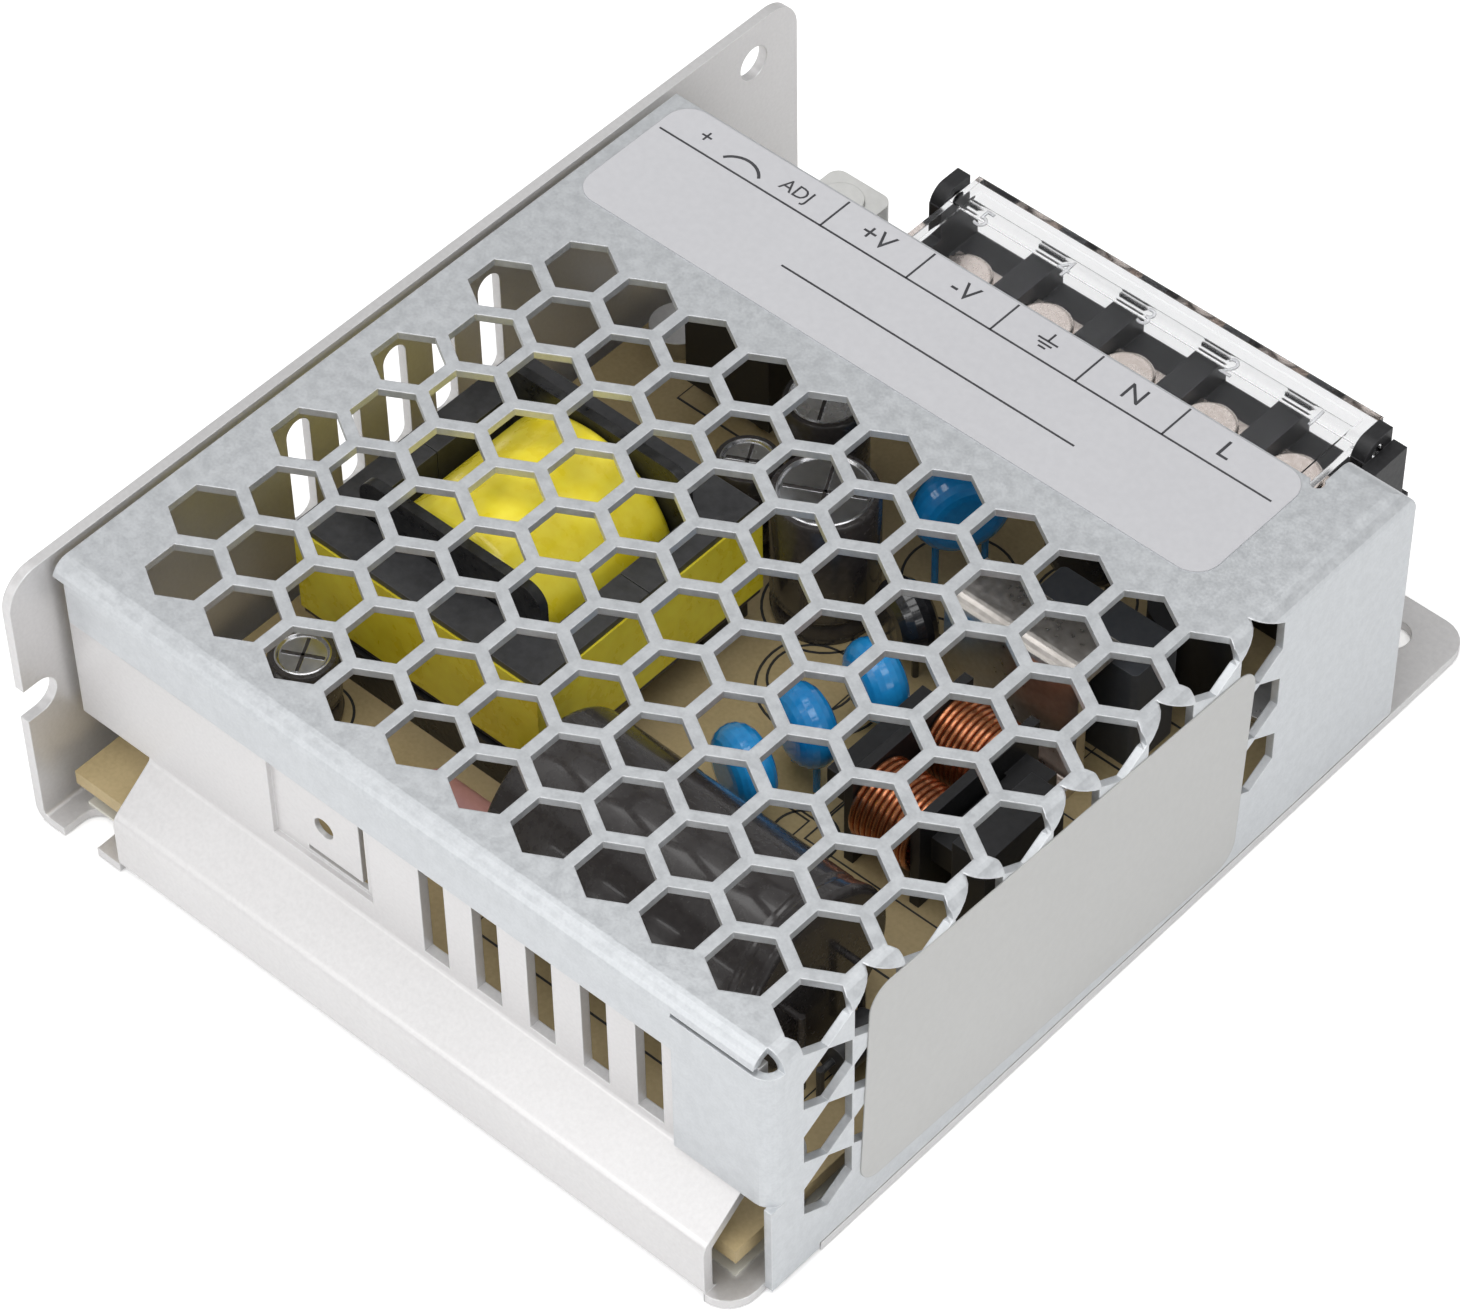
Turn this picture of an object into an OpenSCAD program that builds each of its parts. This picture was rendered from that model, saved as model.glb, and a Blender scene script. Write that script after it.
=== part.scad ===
// Enclosed switching power supply: a folded aluminium chassis, a folded mesh cover,
// a circuit board with its parts and a five-pole barrier terminal under a hinged clear cover.
// +X points to the tall side plate, -Y to the terminal end, +Z up; the origin is the middle of the base.

/* [Housing] */
// Width over the tall side plate and the mesh side wall
housing_w = 82; // [80:0.5:90]
// Length of the tall side plate
housing_l = 99; // [98:0.5:110]
// Height of the tall side plate
housing_h = 30; // [30:0.5:34]
// Thickness of the aluminium chassis sheet
chassis_t = 1.0; // [0.8:0.05:1.2]
// Inside radius of the chassis bends
chassis_bend_r = 0.6; // [0.3:0.05:1]
// Corner radius of the tall side plate
side_corner_r = 3.5; // [2:0.1:5]
// Corner radius of the base plate
base_corner_r = 3; // [1:0.1:4]
// Distance from the plate's rear edge back to the base plate's rear edge
base_rear_inset = 0.4; // [0:0.1:1]

/* [Rear wall] */
// Distance from the tall plate's rear edge to the rear wall's outer face
rear_wall_inset = 5.3; // [4.5:0.1:7]
// Height at which the slope meets the rear wall
slope_top_z = 10.1; // [9.5:0.1:11]
// Height at which the lip turns into the slope
slope_low_z = 6.4; // [5:0.1:7]
// Distance from the tall plate's outer face to the lip's near end
lip_near_gap = 10; // [9:0.5:12]
// Distance from the mesh side to the lip's far end
lip_far_gap = 3.7; // [3:0.1:6]
// Seam between the rear wall and the tall plate
rear_seam = 0.9; // [0.3:0.1:1.5]
// Number of rear vent slots
rear_slots = 5; // [1:1:6]
// Width of a rear vent slot
rear_slot_w = 2.85; // [2:0.05:3.5]
// Distance from one rear vent slot to the next
rear_slot_pitch = 6; // [5:0.1:6.5]
// Distance from the tall plate's outer face to the first rear slot's centre
rear_slot_start = 44.3; // [43:0.1:46]
// Height of a rear slot's lower end
rear_slot_z = 11.6; // [11.5:0.1:13]
// Height of a rear slot
rear_slot_h = 13.6; // [8:0.1:14]
// Width of the stamped pocket in the rear wall
pocket_w = 11.7; // [10:0.1:13]
// Height of the stamped pocket
pocket_h = 13; // [10:0.1:14]
// Distance from the tall plate's outer face to the pocket's middle
pocket_from_side = 31.2; // [29:0.1:32]
// Width of the tongue left standing in the pocket
tongue_w = 8.5; // [6:0.1:9]
// Diameter of the round hole in the tongue
tongue_hole_d = 2.2; // [1.5:0.1:3]

/* [Chassis holes] */
// Diameter of the fixing holes in the base lug and the tall plate
fix_hole_d = 3.6; // [3:0.1:4.5]
// Base lug hole's distance from the mesh side
base_hole_from_side = 5.8; // [5:0.1:8]
// Base lug hole's distance from the terminal end
base_hole_from_end = 4.5; // [3.5:0.1:6]
// Side plate hole's distance from the terminal end
side_hole_from_end = 6; // [4.5:0.1:8]
// Side plate hole's distance from the plate's top edge
side_hole_from_top = 4.5; // [4:0.1:6]
// Width of the open fixing notches
notch_w = 3.8; // [3:0.1:4.5]
// Depth of the open fixing notches
notch_depth = 3.6; // [3:0.1:5]
// Base notch's distance from the tall plate's outer face
base_notch_from_side = 5.35; // [5:0.05:7]
// Height of the side plate's notch
side_notch_z = 15.1; // [13:0.1:17]
// Number of vent slots in the tall plate
side_slots = 5; // [1:1:6]
// Width of a side vent slot
side_slot_w = 2.8; // [2:0.1:4]
// Distance from one side vent slot to the next
side_slot_pitch = 6; // [5:0.1:8]
// Length of a side vent slot
side_slot_h = 12.6; // [8:0.1:14]
// Height of a side vent slot's middle
side_slot_z = 17.9; // [16:0.1:19]
// Middle of the slot row behind the housing's middle
side_slot_y = 4; // [0:0.5:8]

/* [Mesh cover] */
// Thickness of the mesh cover sheet
cover_t = 0.8; // [0.6:0.05:1]
// Inside radius of the cover bends
cover_bend_r = 1; // [0.6:0.1:1.5]
// Height of the cover's top below the tall plate's edge
cover_drop = 0.3; // [0.1:0.1:1]
// Gap between the cover's edge and the tall plate
cover_side_gap = 0.6; // [0.3:0.1:1]
// Gap under the mesh side wall
cover_foot_gap = 0.2; // [0.1:0.05:0.3]
// Depth of the terminal recess from the terminal end
recess_depth = 17.1; // [16.5:0.1:19]
// Width of the side strip that runs on past the recess
strip_w = 6.6; // [5:0.1:7.5]
// Length of the side strip past the recess edge
strip_l = 4.8; // [4:0.1:7]
// Height of the rear flange's lower edge below the cover's top
flange_drop = 6; // [5:0.1:8]
// Width of the corner flange on the rear wall
corner_flange_w = 10.5; // [8:0.1:12]
// Width of the slit over the corner flange
corner_slit = 0.5; // [0.3:0.1:1]
// Distance between hexagon centres
hex_pitch = 7; // [6.5:0.1:8]
// Web left between two hexagons
hex_web = 1.15; // [0.9:0.05:1.5]
// First mesh column's distance from the tall plate's outer face
hex_margin_x = 6.99; // [6:0.01:9]
// First mesh row's distance from the recess edge
hex_margin_y = 22.05; // [20:0.05:24]
// Plain border kept behind the last mesh row
hex_rear_border = 3.3; // [2.5:0.1:6]
// Metal lost in the flat pattern at the bend
bend_allowance = 1.4; // [1:0.1:2]
// Plain border kept under the mesh on the side wall
hex_low_border = 4.6; // [4:0.1:6]

/* [Labels] */
// Thickness of the labels
label_t = 0.1; // [0.05:0.01:0.2]
// Length of the top label across the housing
top_label_l = 71.7; // [60:0.1:73]
// Width of the top label
top_label_w = 15.2; // [12:0.1:16]
// Top label's distance from the tall plate's outer face
top_label_from_side = 3; // [2:0.1:5]
// Length of the side label
side_label_l = 49; // [40:0.5:52]
// Width of the side label
side_label_w = 24.4; // [20:0.1:25]
// Side label's middle, along and upwards
side_label_at = [9.3, 14.9]; // [5:0.1:16]
// Angle at which the side label sits
side_label_tilt = 2.6; // [0:0.1:3]
// Corner radius of the labels
label_r = 2.5; // [1:0.1:4]

/* [Circuit board] */
// Thickness of the circuit board
board_t = 1.6; // [1.2:0.1:2]
// Height of the board's underside over the base sheet
board_lift = 3; // [2.5:0.1:3.5]
// Gap between the board and the side walls
board_side_gap = 1.6; // [1:0.1:2]
// Distance from the board's front edge to the terminal end
board_front_inset = 3; // [2:0.1:4]
// Distance from the board's rear edge to the tall plate's rear edge
board_rear_inset = 2.8; // [2.4:0.1:5]
// Diameter of a standoff
standoff_d = 5; // [4.4:0.1:6]
// Diameter of a board screw's shank
board_screw_d = 3; // [2.5:0.1:3.5]
// Diameter of a board screw's head
board_screw_head_d = 5.6; // [5:0.1:6]
// Height of a board screw's head
board_screw_head_h = 2; // [1.5:0.1:2.5]
// Standoffs' distance from the board's side edges
standoff_inset_x = 3.6; // [3.2:0.1:4.2]
// Rear standoffs' distance from the board's rear edge
standoff_inset_rear = 8.5; // [6:0.1:9]
// Front standoffs' distance from the board's front edge
standoff_inset_front = 19.5; // [18:0.1:22]
// Thickness of the insulation film under the board
film_t = 0.3; // [0.1:0.05:0.4]
// Film's distance from the base plate's edges
film_inset = 3; // [2.5:0.1:5]

/* [Terminal block] */
// Number of poles
poles = 5; // [2:1:5]
// Distance from one pole to the next
pole_pitch = 9.5; // [9:0.1:9.6]
// Thickness of the barriers between poles
barrier_t = 2.85; // [2:0.05:3]
// Distance from the tall plate's outer face to the first pole
pole_from_side = 28.15; // [27:0.05:30]
// Distance from the terminal end to the block's front face
block_inset = 1; // [0.5:0.1:1.5]
// Depth of the block from front to back
block_depth = 14.5; // [14:0.1:14.8]
// Height of the wire ledge over the base plane
ledge_z = 15; // [13:0.1:15.5]
// Height of the barriers over the ledge
barrier_h = 2.7; // [2.2:0.1:3]
// Thickness of the block's rear wall
block_wall_t = 1.4; // [1:0.1:2]
// Thickness of the hinge ears
ear_t = 1.5; // [1.2:0.1:1.8]
// Length of the hinge ears from front to back
ear_l = 4; // [3.6:0.1:5]
// Height of the hinge axis over the ledge
hinge_h = 6.7; // [6.5:0.1:7.5]
// Distance from the block's front face to the hinge axis
hinge_inset = 3.3; // [3:0.1:3.5]
// Diameter of the hinge pins
hinge_pin_d = 1.5; // [1.2:0.1:1.6]
// Radial clearance of running fits
run_gap = 0.05; // [0.02:0.01:0.1]

/* [Terminal cover] */
// Thickness of the clear cover's plate
flap_t = 0.8; // [0.6:0.1:1]
// Height of the rim round the clear cover
flap_rim_h = 0.4; // [0.2:0.1:0.6]
// Width of the rim round the clear cover
flap_rim_w = 1.3; // [1:0.1:1.6]
// Gap between the clear cover's ends and the block
flap_end_gap = 0.25; // [0.2:0.05:0.5]
// Distance from the hinge axis to the clear cover's front edge
flap_front = 3; // [2:0.1:3.1]
// Distance from the hinge axis to the clear cover's rear edge
flap_rear = 9.6; // [8.5:0.1:9.8]

/* [Clamp screws] */
// Diameter of the clamp screw's shank
clamp_screw_d = 3.5; // [3:0.1:4]
// Diameter of the clamp screw's head
clamp_head_d = 5.6; // [5:0.1:6]
// Height of the clamp screw's head
clamp_head_h = 1.4; // [1.2:0.1:1.8]
// Length of the clamp screw's shank under the washer
clamp_screw_l = 6.5; // [5:0.1:7]
// Width of the square clamp washer
washer_w = 6.2; // [5.8:0.1:6.2]
// Thickness of the clamp washer
washer_t = 0.8; // [0.6:0.1:1]
// Distance from the block's front face to the screw axis
screw_inset = 6.9; // [6.7:0.1:7.2]
// Thickness of the contact plates
contact_t = 0.8; // [0.6:0.1:1]
// Height of the contact plates over the ledge
contact_rise = 0.1; // [0.05:0.05:0.3]

/* [Trimmer and lamp] */
// Trimmer's place from the middle and from the terminal end
trimmer_at = [27.6, 8]; // [5:0.1:30]
// Width of the square trimmer body
trimmer_w = 7; // [6:0.1:8]
// Height of the trimmer body
trimmer_h = 11.4; // [8:0.1:12]
// Diameter of the trimmer's rotor
rotor_d = 4.4; // [3:0.1:5]
// Height of the rotor's rim over the trimmer body
rotor_rise = 0.6; // [0.3:0.1:1]
// Lamp's place from the middle and from the terminal end
lamp_at = [34.2, 6.6]; // [5:0.1:36]
// Diameter of the indicator lamp
lamp_d = 3; // [2:0.1:4]
// Height of the indicator lamp
lamp_h = 5; // [4:0.1:6]

/* [Transformer] */
// Transformer's place from the middle, across and along
transformer_at = [19.2, 9]; // [5:0.1:20]
// Size of the ferrite core across, along and upwards
core_size = [28.5, 28, 11.4]; // [10:0.1:30]
// Height of the core's underside over the board
core_lift = 4.7; // [4.5:0.1:6]
// Width of the core's outer legs
core_leg_w = 3.4; // [3:0.1:4]
// Thickness of the core's end pieces
core_back_t = 4.35; // [3.5:0.05:5]
// Diameter of the core's middle leg
core_post_d = 9.9; // [8:0.1:11]
// Diameter of the taped winding
winding_d = 20; // [17:0.1:20.4]
// Thickness of the bobbin's end flanges
bobbin_flange_t = 1; // [0.8:0.1:1.4]
// Thickness of the wrapping tape
tape_t = 0.2; // [0.1:0.05:0.3]
// Height of the wrapping tape
tape_h = 10; // [8:0.1:11]

/* [Capacitors] */
// Bulk capacitor's place from the middle, across and along
bulk_at = [-15, 27]; // [-16:0.1:28]
// Diameter of the bulk capacitor
bulk_d = 18; // [16:0.1:18.2]
// Length of the bulk capacitor
bulk_l = 30; // [25:0.5:32]
// First output capacitor's place from the middle
output_1_at = [10.2, -19.7]; // [-30:0.1:20]
// Second output capacitor's place from the middle
output_2_at = [2.4, -10.8]; // [-30:0.1:20]
// Third output capacitor's place from the middle
output_3_at = [12.6, -12]; // [-30:0.1:20]
// Diameters of the output capacitors
output_d = [8, 10, 6.3]; // [5:0.1:10]
// Heights of the output capacitors
output_h = [14.5, 15, 11]; // [9:0.1:16]
// Rear disc capacitor's place from the middle
disc_1_at = [-8.6, 12.2]; // [-20:0.1:20]
// Middle disc capacitor's place from the middle
disc_2_at = [-9.4, 5.2]; // [-20:0.1:20]
// Front disc capacitor's place from the middle
disc_3_at = [-10.6, -2.6]; // [-20:0.1:20]
// Diameter of the small disc capacitors
disc_d = 8; // [6:0.1:8.4]
// Thickness of the disc capacitors
disc_t = 4; // [2.5:0.1:4]
// Height of the disc capacitors' lower edge over the board
disc_lift = 2.6; // [1:0.1:5]
// Tall disc capacitor's place from the middle
tall_disc_at = [-4.4, -21.2]; // [-30:0.1:5]
// Diameter of the tall disc capacitor
tall_disc_d = 9.4; // [7:0.1:9.8]
// Box capacitor's place from the middle
box_cap_at = [-23.6, -16.8]; // [-30:0.1:0]
// Size of the box capacitor across, along and upwards
box_cap_size = [13, 6, 12]; // [4:0.1:13]
// Small electrolytic capacitor's place from the middle
small_cap_at = [27.8, 28.6]; // [20:0.1:34]
// Diameter of the small electrolytic capacitor
small_cap_d = 6.3; // [5:0.1:8]
// Height of the small electrolytic capacitor
small_cap_h = 8; // [6:0.1:11]

/* [Choke] */
// Choke's place from the middle
choke_at = [-22.2, 2.2]; // [-24:0.1:4]
// Size of the choke's core across and along
choke_size = [15, 12.4]; // [10:0.1:16]
// Width of the choke core's limbs
choke_limb = 3; // [2:0.1:3.4]
// Height of the choke's coil axis over the board
choke_axis = 6.4; // [5.5:0.1:7]
// Diameter of the choke's copper coils
choke_coil_d = 8; // [6:0.1:8.6]
// Length of one copper coil
choke_coil_l = 6.4; // [4:0.1:7]
// Thickness of the choke bobbin's flanges
choke_flange_t = 1; // [0.6:0.1:1.2]

/* [Small parts] */
// Varistor's place from the middle
varistor_at = [-14.6, -26.6]; // [-30:0.1:0]
// Thermistor's place from the middle
thermistor_at = [-7.4, -10.4]; // [-20:0.1:0]
// Fuse's place from the middle
fuse_at = [-26.4, -26.8]; // [-32:0.1:0]
// Diameter of the fuse's cap
fuse_d = 8.4; // [6:0.1:9]
// Height of the fuse's cap
fuse_h = 8; // [6:0.1:9]
// Heat clip's place from the middle
clip_at = [-20.6, -9.8]; // [-26:0.1:0]
// Length, thickness and height of the heat clip
clip_size = [15, 1.2, 14.6]; // [0.8:0.1:18]
// Size of a power package's body
package_size = [10.2, 3.6, 11]; // [2:0.1:14]
// Output diode's place from the middle
diode_at = [24, -23.6]; // [-30:0.1:30]
// Bridge rectifier's place from the middle
bridge_at = [-32.6, 6]; // [-36:0.1:10]
// Film resistor's place from the middle
resistor_at = [7.4, 29.4]; // [0:0.1:34]
// Diameter of the film resistor
resistor_d = 4.4; // [3:0.1:5]
// Length of the film resistor
resistor_l = 11; // [8:0.1:12]
// Ferrite bead's place from the middle
bead_at = [-33.4, 26.5]; // [-36:0.1:30]
// Outer diameter of the ferrite bead
bead_d = 3.6; // [3:0.1:4]
// Length of the ferrite bead
bead_l = 5; // [4:0.1:7]
// Diameter of component leads
lead_d = 0.7; // [0.5:0.05:0.9]

/* [Hidden] */
$fn = 48;

// Small clearance between cut tools and faces, never a size of the part
eps = 0.01;

// Outer faces of the housing
side_x = housing_w / 2;
mesh_x = -housing_w / 2;
front_y = -housing_l / 2;
rear_y = housing_l / 2;
base_rear_y = rear_y - base_rear_inset;
rear_wall_y = rear_y - rear_wall_inset;
cover_top_z = housing_h - cover_drop;
cover_under_z = cover_top_z - cover_t;
cover_x0 = mesh_x;
cover_x1 = side_x - chassis_t - cover_side_gap;
cover_rear_y = rear_wall_y + cover_t;
recess_y = front_y + recess_depth;
strip_y = recess_y - strip_l;

// Heights over the base sheet
board_z = chassis_t + board_lift;
board_top = board_z + board_t;
board_x0 = mesh_x + cover_t + board_side_gap;
board_x1 = side_x - chassis_t - board_side_gap;
board_y0 = front_y + board_front_inset;
board_y1 = rear_y - board_rear_inset;

// Terminal block: the poles run from the tall plate towards the mesh side
function pole_x(i) = side_x - pole_from_side - i * pole_pitch;
block_front = front_y + block_inset;
block_rear = block_front + block_depth;
bay_w = pole_pitch - barrier_t;
bay_x1 = pole_x(0) + pole_pitch / 2 - barrier_t / 4;
bay_x0 = pole_x(poles - 1) - pole_pitch / 2;
screw_y = block_front + screw_inset;
contact_top = ledge_z + contact_rise;
washer_top = contact_top + washer_t;
hinge_y = block_front + hinge_inset;
hinge_z = ledge_z + hinge_h;
flap_x0 = bay_x0;
flap_x1 = bay_x1;
flap_top = hinge_z + flap_t;
wall_top = flap_top - flap_t - 0.3;

// Outline helpers -------------------------------------------------------------------

function left_of(v) = [-v[1], v[0]];
function unit(v) = v / norm(v);
function angle_of(v) = atan2(v[1], v[0]);
function wrap(a) = a > 180 ? a - 360 : a < -180 ? a + 360 : a;
function arc(c, r, a0, a1, steps = 6) =
    [for (k = [0:steps]) c + r * [cos(a0 + (a1 - a0) * k / steps), sin(a0 + (a1 - a0) * k / steps)]];

// One face of a folded sheet: the path lies on the sheet's left face, the other face is t to its right.
// side is 0 for the left face and 1 for the right one.
function fold_face(path, t, r, side) = [
    for (i = [0:len(path) - 1])
        let (
            into = i > 0 ? unit(path[i] - path[i - 1]) : unit(path[1] - path[0]),
            out = i < len(path) - 1 ? unit(path[i + 1] - path[i]) : into,
            l0 = left_of(into),
            l1 = left_of(out),
            turn = wrap(angle_of(out) - angle_of(into))
        )
        each abs(turn) < 1
            ? [path[i] - side * t * l1]
            : let (
                s = turn > 0 ? 1 : -1,
                centre = path[i] + (turn > 0 ? r : -(r + t)) * (l0 + l1) / (1 + into * out),
                radius = (s > 0) == (side == 0) ? r : r + t,
                a0 = angle_of(l0) + (s > 0 ? 180 : 0)
            )
            arc(centre, radius, a0, a0 + turn)
];

function reversed(list) = [for (i = [len(list) - 1:-1:0]) list[i]];

// Cross-section of a sheet of thickness t folded along a path with inside radius r
module folded_sheet(path, t, r) {
    polygon(concat(fold_face(path, t, r, 0), reversed(fold_face(path, t, r, 1))));
}

// Extrudes a YZ section from x0 to x1
module along_x(x0, x1) {
    translate([x0, 0, 0])
        rotate([90, 0, 90])
            linear_extrude(x1 - x0)
                children();
}

// Extrudes an XZ section from y0 to y1
module along_y(y0, y1) {
    translate([0, y1, 0])
        rotate([90, 0, 0])
            linear_extrude(y1 - y0)
                children();
}

// Box from its low corner to its high corner
module block(low, high) {
    translate(low)
        cube(high - low);
}

// Rectangle with rounded corners, centred
module rounded_plate(l, w, r) {
    square([l - 2 * r, w], center = true);
    square([l, w - 2 * r], center = true);
    for (sx = [-1, 1], sy = [-1, 1])
        translate([sx * (l / 2 - r), sy * (w / 2 - r)])
            circle(r);
}

// Slot with round ends, upright, centred
module round_slot(w, l) {
    square([w, l - w], center = true);
    for (s = [-1, 1])
        translate([0, s * (l - w) / 2])
            circle(w / 2);
}

// Slot open towards +X of the sketch, its closed end round
module open_notch(w, depth) {
    circle(w / 2);
    translate([0, -w / 2])
        square([depth, w]);
}

// Housing --------------------------------------------------------------------------

lip_x0 = mesh_x + lip_far_gap;
lip_x1 = side_x - lip_near_gap;
plate_x0 = mesh_x + cover_t;
wall_x0 = plate_x0 + cover_bend_r;
wall_z1 = cover_under_z - cover_bend_r;
wall_x1 = side_x - chassis_t - rear_seam;
pocket_x = side_x - pocket_from_side;
pocket_z0 = slope_top_z + 3;

function rear_slot_x(i) = side_x - rear_slot_start - i * rear_slot_pitch;

// Base sheet with the rear lip, slope and wall: one fold path, seen from the side
rear_path = [
    [0, chassis_t],
    [base_rear_y - chassis_t, chassis_t],
    [base_rear_y - chassis_t, slope_low_z],
    [rear_wall_y - chassis_t, slope_top_z],
    [rear_wall_y - chassis_t, wall_z1]
];

module rear_fold() {
    difference() {
        along_x(wall_x0, wall_x1)
            folded_sheet(rear_path, chassis_t, chassis_bend_r);
        // Beyond the lip's ends the wall stands by itself above open corners
        block([lip_x1, base_rear_y - 8, -eps], [side_x, rear_y + 1, slope_top_z + 0.8]);
        block([mesh_x - 1, base_rear_y - 8, -eps], [lip_x0, rear_y + 1, slope_top_z + 0.8]);
        for (i = [0:rear_slots - 1])
            block([rear_slot_x(i) - rear_slot_w / 2, rear_wall_y - 3, rear_slot_z],
                  [rear_slot_x(i) + rear_slot_w / 2, rear_wall_y + 3, rear_slot_z + rear_slot_h]);
        stamped_pocket();
    }
}

// The pocket is pressed half a sheet deep; a tongue stands in it, cut free on three sides
module stamped_pocket() {
    low = pocket_z0;
    block([pocket_x - pocket_w / 2, rear_wall_y - chassis_t / 2, low],
          [pocket_x + pocket_w / 2, rear_wall_y + 1, low + pocket_h]);
    block([pocket_x - tongue_w / 2 - 0.6, rear_wall_y - 2, low + 1],
          [pocket_x - tongue_w / 2, rear_wall_y + 1, low + pocket_h - 2]);
    block([pocket_x - tongue_w / 2 - 0.6, rear_wall_y - 2, low + 0.4],
          [pocket_x + tongue_w / 4, rear_wall_y + 1, low + 1]);
    translate([pocket_x, rear_wall_y + 1, low + 4.6])
        rotate([90, 0, 0])
            cylinder(h = 3, d = tongue_hole_d);
}

module side_plate_blank() {
    along_y(front_y, rear_y)
        folded_sheet([[0, chassis_t], [side_x - chassis_t, chassis_t], [side_x - chassis_t, housing_h]],
                     chassis_t, chassis_bend_r);
}

// Corners of the tall plate that rounding takes away
module side_corner_waste() {
    for (end = [-1, 1])
        difference() {
            along_x(side_x - chassis_t - 1, side_x + 1)
                translate([end * (rear_y + 1 - side_corner_r / 2) - (side_corner_r + 2) / 2,
                           housing_h - side_corner_r])
                    square([side_corner_r + 2, side_corner_r + 1]);
            translate([0, end * (rear_y - side_corner_r), housing_h - side_corner_r])
                rotate([0, 90, 0])
                    cylinder(h = 2 * housing_w, r = side_corner_r, center = true);
            block([side_x - 2, end > 0 ? -1 : -(rear_y - side_corner_r), 0],
                  [side_x + 1, end > 0 ? rear_y - side_corner_r : 1, housing_h + 2]);
        }
}

module side_openings() {
    translate([side_x, 0, 0])
        rotate([90, 0, 90])
            linear_extrude(4, center = true) {
                for (i = [0:side_slots - 1])
                    translate([side_slot_y + (i - (side_slots - 1) / 2) * side_slot_pitch, side_slot_z])
                        round_slot(side_slot_w, side_slot_h);
                translate([rear_y - notch_depth + notch_w / 2, side_notch_z])
                    open_notch(notch_w, notch_depth);
            }
    translate([side_x - 2, front_y + side_hole_from_end, housing_h - side_hole_from_top])
        rotate([0, 90, 0])
            cylinder(h = 4, d = fix_hole_d);
}

module base_openings() {
    translate([mesh_x + base_hole_from_side, front_y + base_hole_from_end, -1])
        cylinder(h = chassis_t + 2, d = fix_hole_d);
    translate([side_x - base_notch_from_side, base_rear_y - notch_depth + notch_w / 2, -1])
        linear_extrude(chassis_t + 2)
            rotate(90)
                open_notch(notch_w, notch_depth);
}

// Flat sheet from the lip's ends outwards, its mesh-side corners rounded
module base_plate() {
    r = base_corner_r;
    linear_extrude(chassis_t) {
        polygon(concat(
            arc([mesh_x + r, front_y + r], r, 180, 270),
            [[side_x - chassis_t - chassis_bend_r, front_y]],
            [[side_x - chassis_t - chassis_bend_r, base_rear_y]],
            [[lip_x1, base_rear_y], [lip_x1, base_rear_y - 4], [lip_x0, base_rear_y - 4]],
            [[lip_x0, base_rear_y]],
            arc([plate_x0 + r, base_rear_y - r], r, 90, 180),
            [[plate_x0, cover_rear_y - foot_drop_l], [mesh_x, cover_rear_y - foot_drop_l]]));
    }
}

module base_chassis() {
    color([0.9, 0.9, 0.9])
        difference() {
            union() {
                base_plate();
                difference() {
                    side_plate_blank();
                    side_corner_waste();
                    block([-1, front_y - 1, -1], [side_x - 4, rear_y + 1, chassis_t + 1]);
                }
                rear_fold();
            }
            side_openings();
            base_openings();
        }
}

// Hexagonal mesh -------------------------------------------------------------------

hex_row = hex_pitch * sqrt(3) / 2;
hex_d = (hex_pitch - hex_web) / cos(30);
hex_y0 = recess_y + hex_margin_y;
hex_rows = floor((cover_rear_y - hex_rear_border - hex_d / 2 - hex_y0) / hex_row);
hex_wall_rows = floor((hex_margin_y - hex_d / 2 - 3) / hex_row) - 1;
hex_columns = floor((housing_w + housing_h) / hex_pitch);
// What turns a flat-pattern place x into a height on the side wall
fold_offset = cover_top_z + side_x - bend_allowance;
hex_low_z = chassis_t + cover_foot_gap + hex_low_border;
foot_drop_l = 6;

function column_x(row, k) = side_x - hex_margin_x - (row % 2 == 0 ? hex_pitch / 2 : 0) - k * hex_pitch;
function wall_z(row, k) = fold_offset + column_x(row, k);
function on_wall(row, z) = z > hex_low_z && z < (row < 0 ? cover_under_z - cover_bend_r : cover_top_z + hex_web);

module hexagon() {
    rotate(90)
        circle(d = hex_d, $fn = 6);
}

// Hexagons through the top; the last column reaches into the bend
module top_hexagons() {
    for (row = [0:hex_rows], k = [0:hex_columns])
        if (column_x(row, k) > mesh_x)
            translate([column_x(row, k), hex_y0 + row * hex_row, cover_under_z - cover_bend_r])
                linear_extrude(cover_t + cover_bend_r + 1)
                    hexagon();
}

// Hexagons through the side wall: the same pattern carried round the bend
module wall_hexagons() {
    for (row = [-hex_wall_rows:hex_rows], k = [0:hex_columns])
        if (on_wall(row, wall_z(row, k)))
            translate([mesh_x - 1, hex_y0 + row * hex_row, wall_z(row, k)])
                rotate([0, 90, 0])
                    linear_extrude(cover_t + cover_bend_r + 1)
                        rotate(90)
                            hexagon();
}

// Path of the top and side wall, on the inner face
function side_fold_path(x_start) = [
    [x_start, cover_under_z],
    [mesh_x + cover_t, cover_under_z],
    [mesh_x + cover_t, chassis_t + cover_foot_gap]
];

bend_y = cover_rear_y - cover_t - cover_bend_r;
slit_z = cover_under_z - 0.6;
corner_low_z = slope_top_z + 1;

// Top and side wall up to the start of the rear bends, with the side wall's foot run on to the rear
module top_and_side() {
    along_y(recess_y, bend_y)
        folded_sheet(side_fold_path(cover_x1), cover_t, cover_bend_r);
    block([mesh_x, bend_y - 1, chassis_t + cover_foot_gap], [mesh_x + cover_t, cover_rear_y, corner_low_z]);
}

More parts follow.
